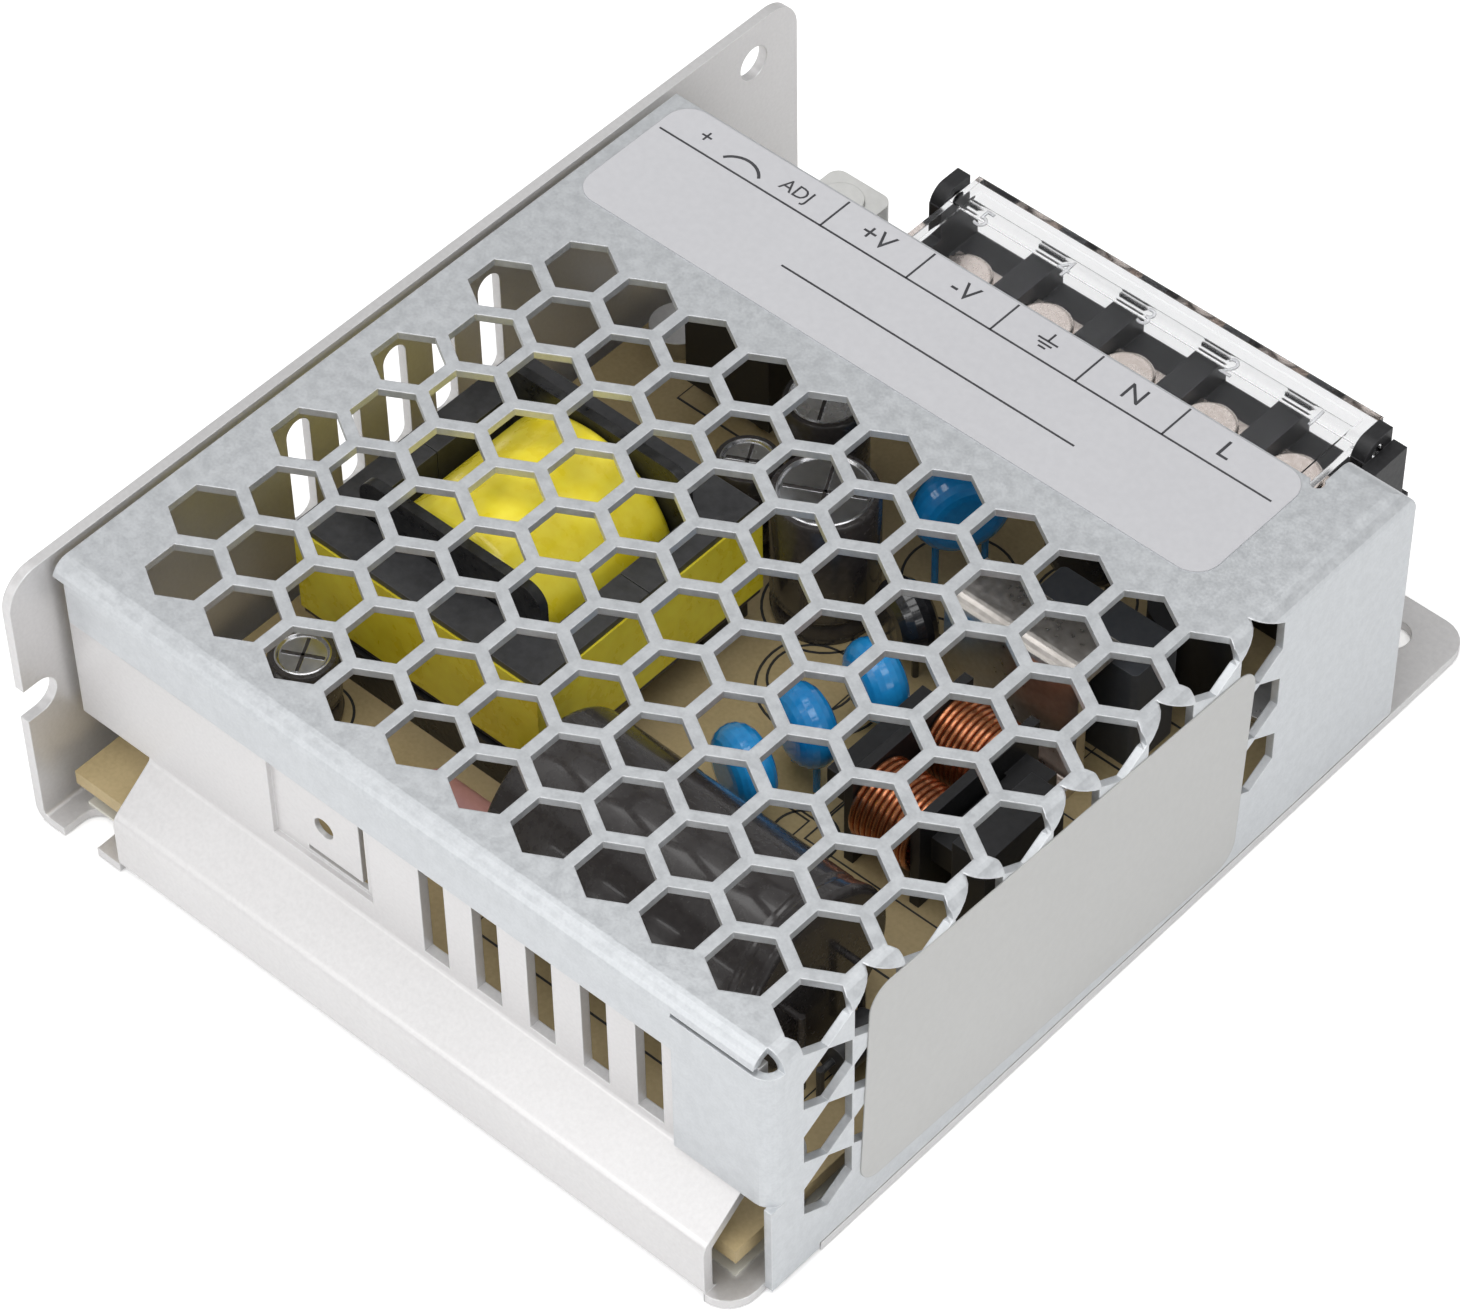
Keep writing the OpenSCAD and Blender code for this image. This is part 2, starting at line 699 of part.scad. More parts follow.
// Rear corner of the top edge: the side bend meeting the rear bend
module corner_cap() {
    intersection() {
        along_y(bend_y, cover_rear_y)
            folded_sheet(side_fold_path(wall_x0), cover_t, cover_bend_r);
        along_x(mesh_x - 1, wall_x0)
            polygon(concat([[bend_y - 1, cover_top_z], [bend_y - 1, slit_z], [cover_rear_y, slit_z]],
                           arc([bend_y, cover_top_z - cover_t - cover_bend_r], cover_t + cover_bend_r, 360, 450)));
    }
}

module rear_flange() {
    difference() {
        along_x(wall_x0, cover_x1)
            folded_sheet([[cover_rear_y - cover_t, cover_top_z - flange_drop],
                          [cover_rear_y - cover_t, cover_under_z],
                          [bend_y - 3, cover_under_z]], cover_t, cover_bend_r);
        block([cover_x1 - 1.4, bend_y, 0], [side_x, cover_rear_y + 1, slit_z]);
        block([mesh_x - 1, bend_y, 0], [mesh_x + corner_flange_w, cover_rear_y + 1, slit_z]);
    }
}

// Side wall wrapping round the rear corner, cut free from the top by a slit
module corner_flange() {
    translate([0, 0, corner_low_z])
        linear_extrude(slit_z - corner_slit - corner_low_z)
            folded_sheet([[mesh_x + corner_flange_w, cover_rear_y - cover_t],
                          [mesh_x + cover_t, cover_rear_y - cover_t],
                          [mesh_x + cover_t, bend_y - 3]], cover_t, cover_bend_r);
}

// Strip of top and side wall that runs on beside the terminal block
module side_strip() {
    difference() {
        along_y(strip_y, recess_y + eps)
            folded_sheet(side_fold_path(mesh_x + strip_w), cover_t, cover_bend_r);
        difference() {
            block([mesh_x - 1, strip_y - 1, cover_top_z - 2], [mesh_x + strip_w + 1, strip_y + 2, cover_top_z + 1]);
            translate([0, strip_y + 2, cover_top_z - 2])
                rotate([0, 90, 0])
                    cylinder(h = 2 * housing_w, r = 2, center = true);
        }
    }
}

module mesh_cover() {
    color([0.78, 0.8, 0.82])
        difference() {
            union() {
                top_and_side();
                corner_cap();
                rear_flange();
                corner_flange();
                side_strip();
                // The foot drops beside the base plate behind the lug
                block([mesh_x, cover_rear_y - foot_drop_l + cover_foot_gap, chassis_t / 2],
                      [mesh_x + cover_t, cover_rear_y, chassis_t + cover_foot_gap + 1]);
            }
            top_hexagons();
            wall_hexagons();
            translate([mesh_x + strip_w + 0.4, recess_y, cover_under_z - 1])
                cylinder(h = cover_t + 2, d = 1.4);
        }
}

// Labels ----------------------------------------------------------------------------

module top_label() {
    color([0.86, 0.86, 0.87])
        translate([side_x - top_label_from_side - top_label_l / 2, recess_y + 0.2 + top_label_w / 2, cover_top_z])
            linear_extrude(label_t)
                rounded_plate(top_label_l, top_label_w, label_r);
}

module side_label() {
    color([0.78, 0.78, 0.78])
        translate([mesh_x, side_label_at[0], side_label_at[1]])
            rotate([90, 0, -90])
                rotate(-side_label_tilt)
                    linear_extrude(label_t)
                        rounded_plate(side_label_l, side_label_w, label_r);
}

// Board, film and what holds them ---------------------------------------------------

standoff_x0 = board_x0 + standoff_inset_x;
standoff_x1 = board_x1 - standoff_inset_x;
standoff_y0 = board_y0 + standoff_inset_front;
standoff_y1 = board_y1 - standoff_inset_rear;

module at_standoffs() {
    for (x = [standoff_x0, standoff_x1], y = [standoff_y0, standoff_y1])
        translate([x, y, 0])
            children();
}

module circuit_board() {
    color([0.69, 0.6, 0.4])
        difference() {
            block([board_x0, board_y0, board_z], [board_x1, board_y1, board_top]);
            // Corner cut out over the base plate's lug
            block([board_x0 - 1, board_y0 - 1, 0], [mesh_x + strip_w + 1.6, strip_y + 1, housing_h]);
            at_standoffs()
                cylinder(h = housing_h, d = board_screw_d + 0.4);
            for (i = [0:poles - 1])
                translate([pole_x(i), contact_pin_y, board_z])
                    cube([1.6, 1.4, 8], center = true);
        }
}

module standoffs() {
    color([0.75, 0.75, 0.76])
        at_standoffs()
            translate([0, 0, chassis_t])
                difference() {
                    cylinder(h = board_lift, d = standoff_d);
                    translate([0, 0, -1])
                        cylinder(h = board_lift + 2, d = board_screw_d + 2 * run_gap);
                }
}

module board_screws() {
    color([0.8, 0.8, 0.78])
        at_standoffs() {
            translate([0, 0, board_top])
                cylinder(h = board_screw_head_h, d = board_screw_head_d);
            translate([0, 0, chassis_t + 0.4])
                cylinder(h = board_top - chassis_t, d = board_screw_d);
        }
}

module insulation_film() {
    color([0.85, 0.84, 0.78])
        difference() {
            block([mesh_x + film_inset, front_y + film_inset + 5, chassis_t],
                  [side_x - film_inset, base_rear_y - film_inset, chassis_t + film_t]);
            at_standoffs()
                cylinder(h = 8, d = standoff_d + 0.6);
        }
}

// Terminal block --------------------------------------------------------------------

block_x1 = bay_x1 + ear_t;
block_x0 = bay_x0 - 2 * ear_t;
post_l = 2.2;
post_top = hinge_z - flap_t / 2 - 0.2;
barrier_top = ledge_z + barrier_h;
contact_pin_y = screw_y + washer_w / 2 + 0.7;
screw_hole_d = clamp_screw_d + 2 * run_gap;
wall_y = block_rear - block_wall_t;

// One bay's metal: the plate under the washer and the pin down through the board
module contact_shape() {
    block([-bay_w / 2 + 0.3, screw_y - washer_w / 2, contact_top - contact_t],
          [bay_w / 2 - 0.3, contact_pin_y + 0.4, contact_top]);
    block([-0.5, contact_pin_y - 0.4, board_z - 1], [0.5, contact_pin_y + 0.4, contact_top]);
}

module ear_section() {
    translate([hinge_y - ear_l / 2, ledge_z - 1])
        square([ear_l, hinge_h + 1]);
    translate([hinge_y - ear_l / 2, hinge_z - eps])
        square([ear_l - 1.8, 1.5]);
    intersection() {
        translate([hinge_y - ear_l / 2, hinge_z - eps])
            square([ear_l, 1.5]);
        translate([hinge_y + ear_l / 2 - 2, hinge_z - 0.5])
            circle(2);
    }
}

module terminal_body() {
    color([0.13, 0.13, 0.14])
        difference() {
            union() {
                block([block_x0, block_front, board_top], [block_x1, block_rear, ledge_z]);
                // Barriers between the bays, each with a taller post behind
                for (i = [0:poles - 2]) {
                    x = pole_x(i) - pole_pitch / 2;
                    block([x - barrier_t / 2, block_front, ledge_z - 1], [x + barrier_t / 2, wall_y + eps, barrier_top]);
                    block([x - barrier_t / 2, wall_y - post_l, ledge_z], [x + barrier_t / 2, wall_y + eps, post_top]);
                }
                // End walls, rear wall and hinge ears
                for (x = [bay_x0 - ear_t, bay_x1]) {
                    block([x, block_front, ledge_z - 1], [x + ear_t, block_rear, barrier_top]);
                    block([x, wall_y - post_l, ledge_z], [x + ear_t, block_rear, post_top]);
                    along_x(x, x + ear_t)
                        ear_section();
                }
                block([block_x0, block_front + 1, ledge_z - 1], [block_x0 + ear_t, block_rear, hinge_z - 0.2]);
                block([bay_x0 - eps, wall_y, ledge_z - 1], [bay_x1 + eps, block_rear, post_top]);
            }
            for (i = [0:poles - 1])
                translate([pole_x(i), 0, 0]) {
                    contact_shape();
                    translate([0, screw_y, contact_top - washer_t - clamp_screw_l - 0.6])
                        cylinder(h = 20, d = screw_hole_d);
                }
            translate([bay_x0 - ear_t - eps, hinge_y, hinge_z])
                rotate([0, 90, 0])
                    cylinder(h = bay_x1 - bay_x0 + 2 * ear_t + 2 * eps, d = hinge_pin_d + 2 * run_gap);
        }
}

module terminal_contacts() {
    color([0.8, 0.76, 0.66])
        for (i = [0:poles - 1])
            translate([pole_x(i), 0, 0])
                difference() {
                    contact_shape();
                    translate([0, screw_y, 0])
                        cylinder(h = housing_h, d = screw_hole_d);
                }
}

module clamp_screw(i) {
    color([0.82, 0.77, 0.72])
        translate([pole_x(i), screw_y, 0]) {
            translate([0, 0, washer_top])
                rotate_extrude()
                    polygon(concat([[0, 0], [clamp_head_d / 2, 0]],
                                   arc([clamp_head_d / 2 - 0.5, clamp_head_h - 0.5], 0.5, 0, 90),
                                   [[0, clamp_head_h]]));
            translate([0, 0, washer_top - washer_t - clamp_screw_l])
                cylinder(h = clamp_screw_l + washer_t + 0.5, d = clamp_screw_d);
        }
}

module clamp_washer(i) {
    color([0.8, 0.76, 0.72])
        translate([pole_x(i), screw_y, contact_top])
            difference() {
                translate([-washer_w / 2, -washer_w / 2, 0])
                    cube([washer_w, washer_w, washer_t]);
                translate([0, 0, -1])
                    cylinder(h = washer_t + 2, d = screw_hole_d);
            }
}

// Clear cover: plate with a raised rim, and a pin at each end of its hinge axis
module terminal_cover() {
    x0 = flap_x0 + flap_end_gap;
    x1 = flap_x1 - flap_end_gap;
    y0 = hinge_y - flap_front;
    y1 = hinge_y + flap_rear;
    z0 = hinge_z - flap_t / 2;
    color([0.85, 0.87, 0.9, 0.4]) {
        block([x0, y0, z0], [x1, y1, z0 + flap_t]);
        difference() {
            block([x0, y0, z0], [x1, y1, z0 + flap_t + flap_rim_h]);
            block([x0 + flap_rim_w, y0 + flap_rim_w, z0 + flap_t],
                  [x1 - flap_rim_w, y1 - flap_rim_w, z0 + flap_t + 1]);
        }
        translate([bay_x0 - ear_t + 0.2, hinge_y, hinge_z])
            rotate([0, 90, 0])
                cylinder(h = bay_x1 - bay_x0 + 2 * ear_t - 0.4, d = hinge_pin_d);
    }
}

// Trimmer and lamp ------------------------------------------------------------------

trimmer_y = front_y + trimmer_at[1];
trimmer_top = board_top + trimmer_h;

module trimmer_body() {
    color([0.92, 0.92, 0.9])
        translate([trimmer_at[0], trimmer_y, board_top])
            difference() {
                linear_extrude(trimmer_h)
                    rounded_plate(trimmer_w, trimmer_w, 1.2);
                translate([0, 0, trimmer_h - 1.4])
                    cylinder(h = 3, d = rotor_d + 2 * run_gap);
            }
}

module trimmer_rotor() {
    color([0.95, 0.95, 0.93])
        translate([trimmer_at[0], trimmer_y, trimmer_top - 1.35])
            difference() {
                cylinder(h = 1.35 + rotor_rise, d = rotor_d);
                block([-rotor_d / 2 + 0.6, -0.3, 1.35 + rotor_rise - 0.7],
                      [rotor_d / 2 - 0.6, 0.3, 1.35 + rotor_rise + 1]);
            }
}

module indicator_lamp() {
    color([0.75, 0.9, 0.7])
        translate([lamp_at[0], front_y + lamp_at[1], board_top])
            rotate_extrude()
                polygon(concat([[0, 0], [lamp_d / 2 + 0.4, 0], [lamp_d / 2 + 0.4, 0.8], [lamp_d / 2, 0.8]],
                               arc([0, lamp_h - lamp_d / 2], lamp_d / 2, 0, 90)));
}

// Transformer -----------------------------------------------------------------------

core_z = board_top + core_lift + core_size[2] / 2;
window_l = core_size[1] - 2 * core_back_t;
window_w = core_size[0] - 2 * core_leg_w;

module at_transformer() {
    translate([transformer_at[0], transformer_at[1], core_z])
        children();
}

// Two E-shaped halves facing each other with a round middle leg
module transformer_core() {
    color([0.2, 0.2, 0.21])
        at_transformer()
            for (half = [0, 1])
                mirror([0, half, 0])
                    difference() {
                        translate([-core_size[0] / 2, 0.05, -core_size[2] / 2])
                            cube([core_size[0], core_size[1] / 2 - 0.05, core_size[2]]);
                        difference() {
                            block([-window_w / 2, -1, -core_size[2]], [window_w / 2, window_l / 2, core_size[2]]);
                            rotate([-90, 0, 0])
                                cylinder(h = core_size[1], d = core_post_d);
                        }
                    }
}

module transformer_bobbin() {
    tube_l = window_l - 0.2;
    color([0.12, 0.12, 0.12])
        at_transformer() {
            difference() {
                union() {
                    rotate([90, 0, 0])
                        cylinder(h = tube_l, d = core_post_d + 2.4, center = true);
                    for (end = [-1, 1])
                        translate([0, end * (tube_l - bobbin_flange_t) / 2, 0])
                            rotate([90, 0, 0])
                                linear_extrude(bobbin_flange_t, center = true)
                                    rounded_plate(window_w - 0.4, winding_d + 0.6, 2);
                }
                rotate([90, 0, 0])
                    cylinder(h = core_size[1], d = core_post_d + 0.2, center = true);
            }
            // Pin rails under the core's ends
            for (end = [-1, 1])
                block([-window_w / 2 - 1.5, end > 0 ? tube_l / 2 - 1 : -core_size[1] / 2 - 0.4, board_top - core_z],
                      [window_w / 2 + 1.5, end > 0 ? core_size[1] / 2 + 0.4 : 1 - tube_l / 2,
                       -core_size[2] / 2 - 0.2]);
        }
}

module transformer_winding() {
    length = window_l - 2 * bobbin_flange_t - 0.4;
    inner = core_post_d / 2 + 1.3;
    color([0.93, 0.85, 0.15])
        at_transformer()
            rotate([90, 0, 0])
                rotate_extrude()
                    polygon(concat([[inner, -length / 2]],
                                   arc([winding_d / 2 - 1.2, 1.2 - length / 2], 1.2, -90, 0),
                                   arc([winding_d / 2 - 1.2, length / 2 - 1.2], 1.2, 0, 90),
                                   [[inner, length / 2]]));
}

module transformer_tape() {
    color([0.9, 0.8, 0.15])
        at_transformer()
            linear_extrude(tape_h, center = true)
                difference() {
                    square([core_size[0] + 2 * tape_t, core_size[1] + 2 * tape_t], center = true);
                    square([core_size[0], core_size[1]], center = true);
                }
}

// Capacitors ------------------------------------------------------------------------

// Outline of an electrolytic can: round shoulders and a rolled groove near the lead end
function can_outline(r, h) = concat(
    [[0, 0]],
    arc([r - 0.7, 0.7], 0.7, -90, 0),
    arc([r + 0.5, 2.4], 0.9, 214, 146, 4),
    arc([r - 0.7, h - 0.7], 0.7, 0, 90),
    [[0, h]]);

module can(r, h) {
    rotate_extrude()
        polygon(can_outline(r, h));
}

module lead(x, y, z0, z1) {
    translate([x, y, z0])
        cylinder(h = z1 - z0, d = lead_d, $fn = 8);
}

module bulk_capacitor() {
    axis_z = board_top + bulk_d / 2 + 0.15;
    end_x = bulk_at[0] - bulk_l / 2;
    color([0.2, 0.18, 0.18]) {
        translate([end_x, bulk_at[1], axis_z])
            rotate([0, 90, 0])
                can(bulk_d / 2, bulk_l);
        for (side = [-1, 1]) {
            translate([end_x - 1.6, bulk_at[1] + side * 3.75, axis_z])
                rotate([0, 90, 0])
                    cylinder(h = 2, d = lead_d, $fn = 8);
            lead(end_x - 1.6, bulk_at[1] + side * 3.75, board_top, axis_z + lead_d / 2);
        }
    }
}

module output_capacitor(place, i) {
    color([0.22, 0.2, 0.2])
        translate([place[0], place[1], board_top])
            can(output_d[i] / 2, output_h[i]);
}

module small_capacitor() {
    color([0.3, 0.3, 0.34])
        translate([small_cap_at[0], small_cap_at[1], board_top])
            can(small_cap_d / 2, small_cap_h);
}

// Dipped disc standing on its two leads
module disc_capacitor(place, d, turn, lift) {
    z = board_top + lift + d / 2;
    color([0.1, 0.45, 0.8])
        translate([place[0], place[1], 0])
            rotate(turn) {
                translate([0, 0, z])
                    rotate([90, 0, 0])
                        rotate_extrude()
                            polygon(concat([[0, -disc_t / 2]],
                                           arc([d / 2 - disc_t / 2, 0], disc_t / 2, -90, 90, 10),
                                           [[0, disc_t / 2]]));
                for (side = [-1, 1])
                    lead(side * d / 4, 0, board_top, z - d / 4);
            }
}

module box_capacitor() {
    color([0.17, 0.18, 0.2])
        translate([box_cap_at[0], box_cap_at[1], board_top])
            linear_extrude(box_cap_size[2])
                rounded_plate(box_cap_size[0], box_cap_size[1], 0.6);
}

// Choke -----------------------------------------------------------------------------

choke_z = board_top + choke_axis;
choke_y = (choke_size[1] - choke_limb) / 2;

module at_choke() {
    translate([choke_at[0], choke_at[1], choke_z])
        children();
}

// Flat ferrite ring with a flanged bobbin on each limb and feet down to the board
module choke_core() {
    flange_x = choke_coil_l / 2;
    color([0.13, 0.13, 0.13])
        at_choke() {
            difference() {
                cube([choke_size[0], choke_size[1], choke_limb], center = true);
                cube([choke_size[0] - 2 * choke_limb, choke_size[1] - 2 * choke_limb, choke_limb + 1], center = true);
            }
            for (end = [-1, 1])
                block([end > 0 ? flange_x : -flange_x - choke_flange_t, -choke_size[1] / 2 - 1.6, -choke_axis],
                      [end > 0 ? flange_x + choke_flange_t : -flange_x, choke_size[1] / 2 + 1.6,
                       choke_coil_d / 2 + 0.3]);
        }
}

module choke_winding() {
    color([0.75, 0.4, 0.25])
        at_choke()
            for (side = [-1, 1])
                translate([0, side * choke_y, 0])
                    rotate([0, 90, 0])
                        difference() {
                            cylinder(h = choke_coil_l - 0.1, d = choke_coil_d, center = true);
                            cylinder(h = choke_coil_l + 1, d = choke_limb * sqrt(2) + 0.2, center = true);
                        }
}

// Small parts -----------------------------------------------------------------------

module varistor() {
    color([0.15, 0.15, 0.15])
        translate([varistor_at[0], varistor_at[1], 0]) {
            translate([0, 0, board_top + 2.5 + disc_d / 2])
                rotate([90, 0, 25])
                    rotate_extrude()
                        polygon(concat([[0, -1.6]], arc([disc_d / 2 - 1.6, 0], 1.6, -90, 90, 8), [[0, 1.6]]));
            for (side = [-1, 1])
                lead(side * 1.8, side * 0.8, board_top, board_top + 4.5);
        }
}

module thermistor() {
    color([0.12, 0.12, 0.13])
        translate([thermistor_at[0], thermistor_at[1], 0]) {
            translate([0, 0, board_top + 6])
                rotate([90, 0, -20])
                    rotate_extrude()
                        polygon(concat([[0, -2]], arc([1.8, 0], 2, -90, 90, 8), [[0, 2]]));
            for (side = [-1, 1])
                lead(side * 1.6, -side * 0.6, board_top, board_top + 5);
        }
}

module fuse() {
    color([0.15, 0.15, 0.16])
        translate([fuse_at[0], fuse_at[1], board_top])
            cylinder(h = fuse_h, d = fuse_d);
}

// Heat clip: a foot on the board, an upright and a lip folded over the package
module heat_clip() {
    t = clip_size[1];
    color([0.75, 0.72, 0.68])
        translate([clip_at[0], clip_at[1], board_top])
            along_x(-clip_size[0] / 2, clip_size[0] / 2)
                folded_sheet([[3.5, 0], [0, 0], [0, clip_size[2] - t], [-package_size[1] - 0.8, clip_size[2] - t]],
                             t, 0.3);
}

// Flat power package on three leads
module package_shape() {
    block([-package_size[0] / 2, -package_size[1] / 2, 2.2],
          [package_size[0] / 2, package_size[1] / 2, 2.2 + package_size[2]]);
    for (k = [-1:1])
        block([k * 2.54 - 0.4, -0.3, 0], [k * 2.54 + 0.4, 0.3, 2.3]);
}

module power_transistor() {
    color([0.12, 0.12, 0.12])
        translate([clip_at[0], clip_at[1] - package_size[1] / 2 - 0.1, board_top])
            package_shape();
}

module output_diode() {
    color([0.14, 0.12, 0.12])
        translate([diode_at[0], diode_at[1], board_top])
            package_shape();
}

module bridge_rectifier() {
    color([0.13, 0.13, 0.13])
        translate([bridge_at[0], bridge_at[1], board_top])
            rotate(90)
                package_shape();
}

module film_resistor() {
    z = board_top + resistor_d / 2 + 0.2;
    r = resistor_d / 2;
    color([0.75, 0.5, 0.48])
        translate([resistor_at[0], resistor_at[1], 0]) {
            translate([0, 0, z])
                rotate([0, 90, 0])
                    translate([0, 0, -resistor_l / 2])
                        rotate_extrude()
                            polygon(concat([[0, 0]], arc([r - 0.8, 0.8], 0.8, -90, 0),
                                           arc([r - 0.8, resistor_l - 0.8], 0.8, 0, 90), [[0, resistor_l]]));
            for (side = [-1, 1])
                lead(side * (resistor_l / 2 + 0.2), 0, board_top, z);
        }
}

// Bead threaded on a bare jumper
module ferrite_bead() {
    z = board_top + 3.4;
    color([0.2, 0.2, 0.2])
        translate([bead_at[0], bead_at[1], 0]) {
            translate([0, 0, z])
                rotate([90, 0, 0])
                    cylinder(h = bead_l, d = bead_d, center = true);
            translate([0, 0, z])
                rotate([90, 0, 0])
                    cylinder(h = bead_l + 3, d = lead_d, center = true, $fn = 8);
            for (side = [-1, 1])
                lead(0, side * (bead_l / 2 + 1.5), board_top, z + lead_d / 2);
        }
}

base_chassis();
mesh_cover();
top_label();
side_label();
insulation_film();
circuit_board();
standoffs();
board_screws();
terminal_body();
terminal_cover();
terminal_contacts();
clamp_screw(0);  // clamp_screw_1
clamp_screw(1);  // clamp_screw_2
clamp_screw(2);  // clamp_screw_3
clamp_screw(3);  // clamp_screw_4
clamp_screw(4);  // clamp_screw_5
clamp_washer(0);  // clamp_washer_1
clamp_washer(1);  // clamp_washer_2
clamp_washer(2);  // clamp_washer_3
clamp_washer(3);  // clamp_washer_4
clamp_washer(4);  // clamp_washer_5
trimmer_body();
trimmer_rotor();
indicator_lamp();
transformer_core();
transformer_bobbin();
transformer_winding();
transformer_tape();
bulk_capacitor();
output_capacitor(output_1_at, 0);  // output_capacitor_1
output_capacitor(output_2_at, 1);  // output_capacitor_2
output_capacitor(output_3_at, 2);  // output_capacitor_3
disc_capacitor(disc_1_at, disc_d, -20, disc_lift);  // disc_capacitor_1
disc_capacitor(disc_2_at, disc_d, -20, disc_lift);  // disc_capacitor_2
disc_capacitor(disc_3_at, disc_d, -20, disc_lift);  // disc_capacitor_3
disc_capacitor(tall_disc_at, tall_disc_d, 60, disc_lift + 2);  // disc_capacitor_4
choke_core();
choke_winding();
box_capacitor();
small_capacitor();
varistor();
thermistor();
fuse();
heat_clip();
power_transistor();
output_diode();
bridge_rectifier();
film_resistor();
ferrite_bead();
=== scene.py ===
import math

import bmesh
import bpy
from mathutils import Matrix, Vector


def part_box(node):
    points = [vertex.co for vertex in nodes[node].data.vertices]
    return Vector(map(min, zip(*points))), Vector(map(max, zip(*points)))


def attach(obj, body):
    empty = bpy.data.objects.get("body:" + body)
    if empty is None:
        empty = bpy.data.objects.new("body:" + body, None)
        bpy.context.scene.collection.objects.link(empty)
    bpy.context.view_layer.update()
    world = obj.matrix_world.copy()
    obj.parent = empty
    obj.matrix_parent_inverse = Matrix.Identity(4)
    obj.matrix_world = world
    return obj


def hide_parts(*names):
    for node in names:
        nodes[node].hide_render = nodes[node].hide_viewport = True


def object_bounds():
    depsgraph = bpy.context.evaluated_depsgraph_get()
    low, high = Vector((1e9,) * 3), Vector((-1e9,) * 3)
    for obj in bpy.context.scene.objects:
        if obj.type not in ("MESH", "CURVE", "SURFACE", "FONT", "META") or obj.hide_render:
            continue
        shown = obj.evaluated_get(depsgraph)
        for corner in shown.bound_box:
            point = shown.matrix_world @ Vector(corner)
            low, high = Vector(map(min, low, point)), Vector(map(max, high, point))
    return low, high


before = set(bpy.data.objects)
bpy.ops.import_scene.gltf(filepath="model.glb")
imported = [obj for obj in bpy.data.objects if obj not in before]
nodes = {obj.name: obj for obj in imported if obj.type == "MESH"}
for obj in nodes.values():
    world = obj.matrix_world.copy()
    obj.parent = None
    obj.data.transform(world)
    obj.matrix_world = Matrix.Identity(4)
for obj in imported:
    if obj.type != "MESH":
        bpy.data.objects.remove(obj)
cad_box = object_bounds()
MM = 0.001

# ---------------------------------------------------------------------------------
# Camera, lamps and floor. A long lens looks down on the mesh corner of the supply,
# over the rear wall; a wide soft lamp hangs over it and the floor is plain and pale.
# ---------------------------------------------------------------------------------
scene = bpy.context.scene
scene.view_settings.view_transform = "Standard"

aim = Vector((-14.24, 8.37, 10.0)) * MM
turn, tilt = math.radians(221.38), math.radians(49.73)
camera_distance = 0.45179
back = Vector((math.sin(turn) * math.cos(tilt), -math.cos(turn) * math.cos(tilt), math.sin(tilt)))
lens = bpy.data.cameras.new("camera")
lens.sensor_fit = "HORIZONTAL"
lens.sensor_width = 36
lens.lens = 129.78
lens.shift_x = -0.0601
lens.shift_y = 0.0906
lens.clip_start = 0.01
camera = bpy.data.objects.new("camera", lens)
camera.location = aim + back * camera_distance
camera.rotation_euler = (-back).to_track_quat("-Z", "Y").to_euler()
scene.collection.objects.link(camera)
scene.camera = camera


def lamp(name, place, size, power):
    """A soft box at place, in metres, turned to the middle of the supply."""
    data = bpy.data.lights.new(name, "AREA")
    data.shape = "RECTANGLE"
    data.size, data.size_y = size
    data.energy = power
    box = bpy.data.objects.new(name, data)
    box.location = place
    away = Vector((0, 0, 0.01)) - Vector(place)
    box.rotation_euler = away.to_track_quat("-Z", "Y").to_euler()
    scene.collection.objects.link(box)


lamp("lamp_over", (-0.05, 0.1, 0.75), (0.7, 0.7), 4.0)
lamp("lamp_rear", (0.12, 0.8, 0.42), (0.6, 0.4), 2.3)
lamp("lamp_mesh_side", (-0.75, 0.05, 0.35), (0.5, 0.4), 1.3)

world = bpy.data.worlds.new("studio")
scene.world = world
world.use_nodes = True
tree = world.node_tree
sky = tree.nodes["Background"]
seen = tree.nodes.new("ShaderNodeLightPath")
pick = tree.nodes.new("ShaderNodeMath")
pick.operation = "MAXIMUM"
tree.links.new(seen.outputs["Is Camera Ray"], pick.inputs[0])
tree.links.new(seen.outputs["Is Transmission Ray"], pick.inputs[1])
level = tree.nodes.new("ShaderNodeMapRange")
level.inputs["To Min"].default_value = 0.42
level.inputs["To Max"].default_value = 1.0
tree.links.new(pick.outputs[0], level.inputs["Value"])
tree.links.new(level.outputs[0], sky.inputs["Strength"])
sky.inputs["Color"].default_value = (1, 1, 1, 1)

floor_mesh = bpy.data.meshes.new("floor")
floor_mesh.from_pydata([(-3, -3, 0), (3, -3, 0), (3, 3, 0), (-3, 3, 0)], [], [(0, 1, 2, 3)])
floor = bpy.data.objects.new("floor", floor_mesh)
floor.location.z = cad_box[0].z - 0.0002
scene.collection.objects.link(floor)
paper = bpy.data.materials.new("backdrop_paper")
paper.use_nodes = True
tree = paper.node_tree
shade = tree.nodes["Principled BSDF"]
shade.inputs["Base Color"].default_value = (0.93, 0.93, 0.93, 1)
shade.inputs["Roughness"].default_value = 0.9
glow = tree.nodes.new("ShaderNodeEmission")
glow.inputs["Strength"].default_value = 0.32
join = tree.nodes.new("ShaderNodeAddShader")
only = tree.nodes.new("ShaderNodeMixShader")
seen = tree.nodes.new("ShaderNodeLightPath")
tree.links.new(shade.outputs[0], join.inputs[0])
tree.links.new(glow.outputs[0], join.inputs[1])
tree.links.new(seen.outputs["Is Camera Ray"], only.inputs["Fac"])
tree.links.new(shade.outputs[0], only.inputs[1])
tree.links.new(join.outputs[0], only.inputs[2])
tree.links.new(only.outputs[0], tree.nodes["Material Output"].inputs["Surface"])
floor_mesh.materials.append(paper)


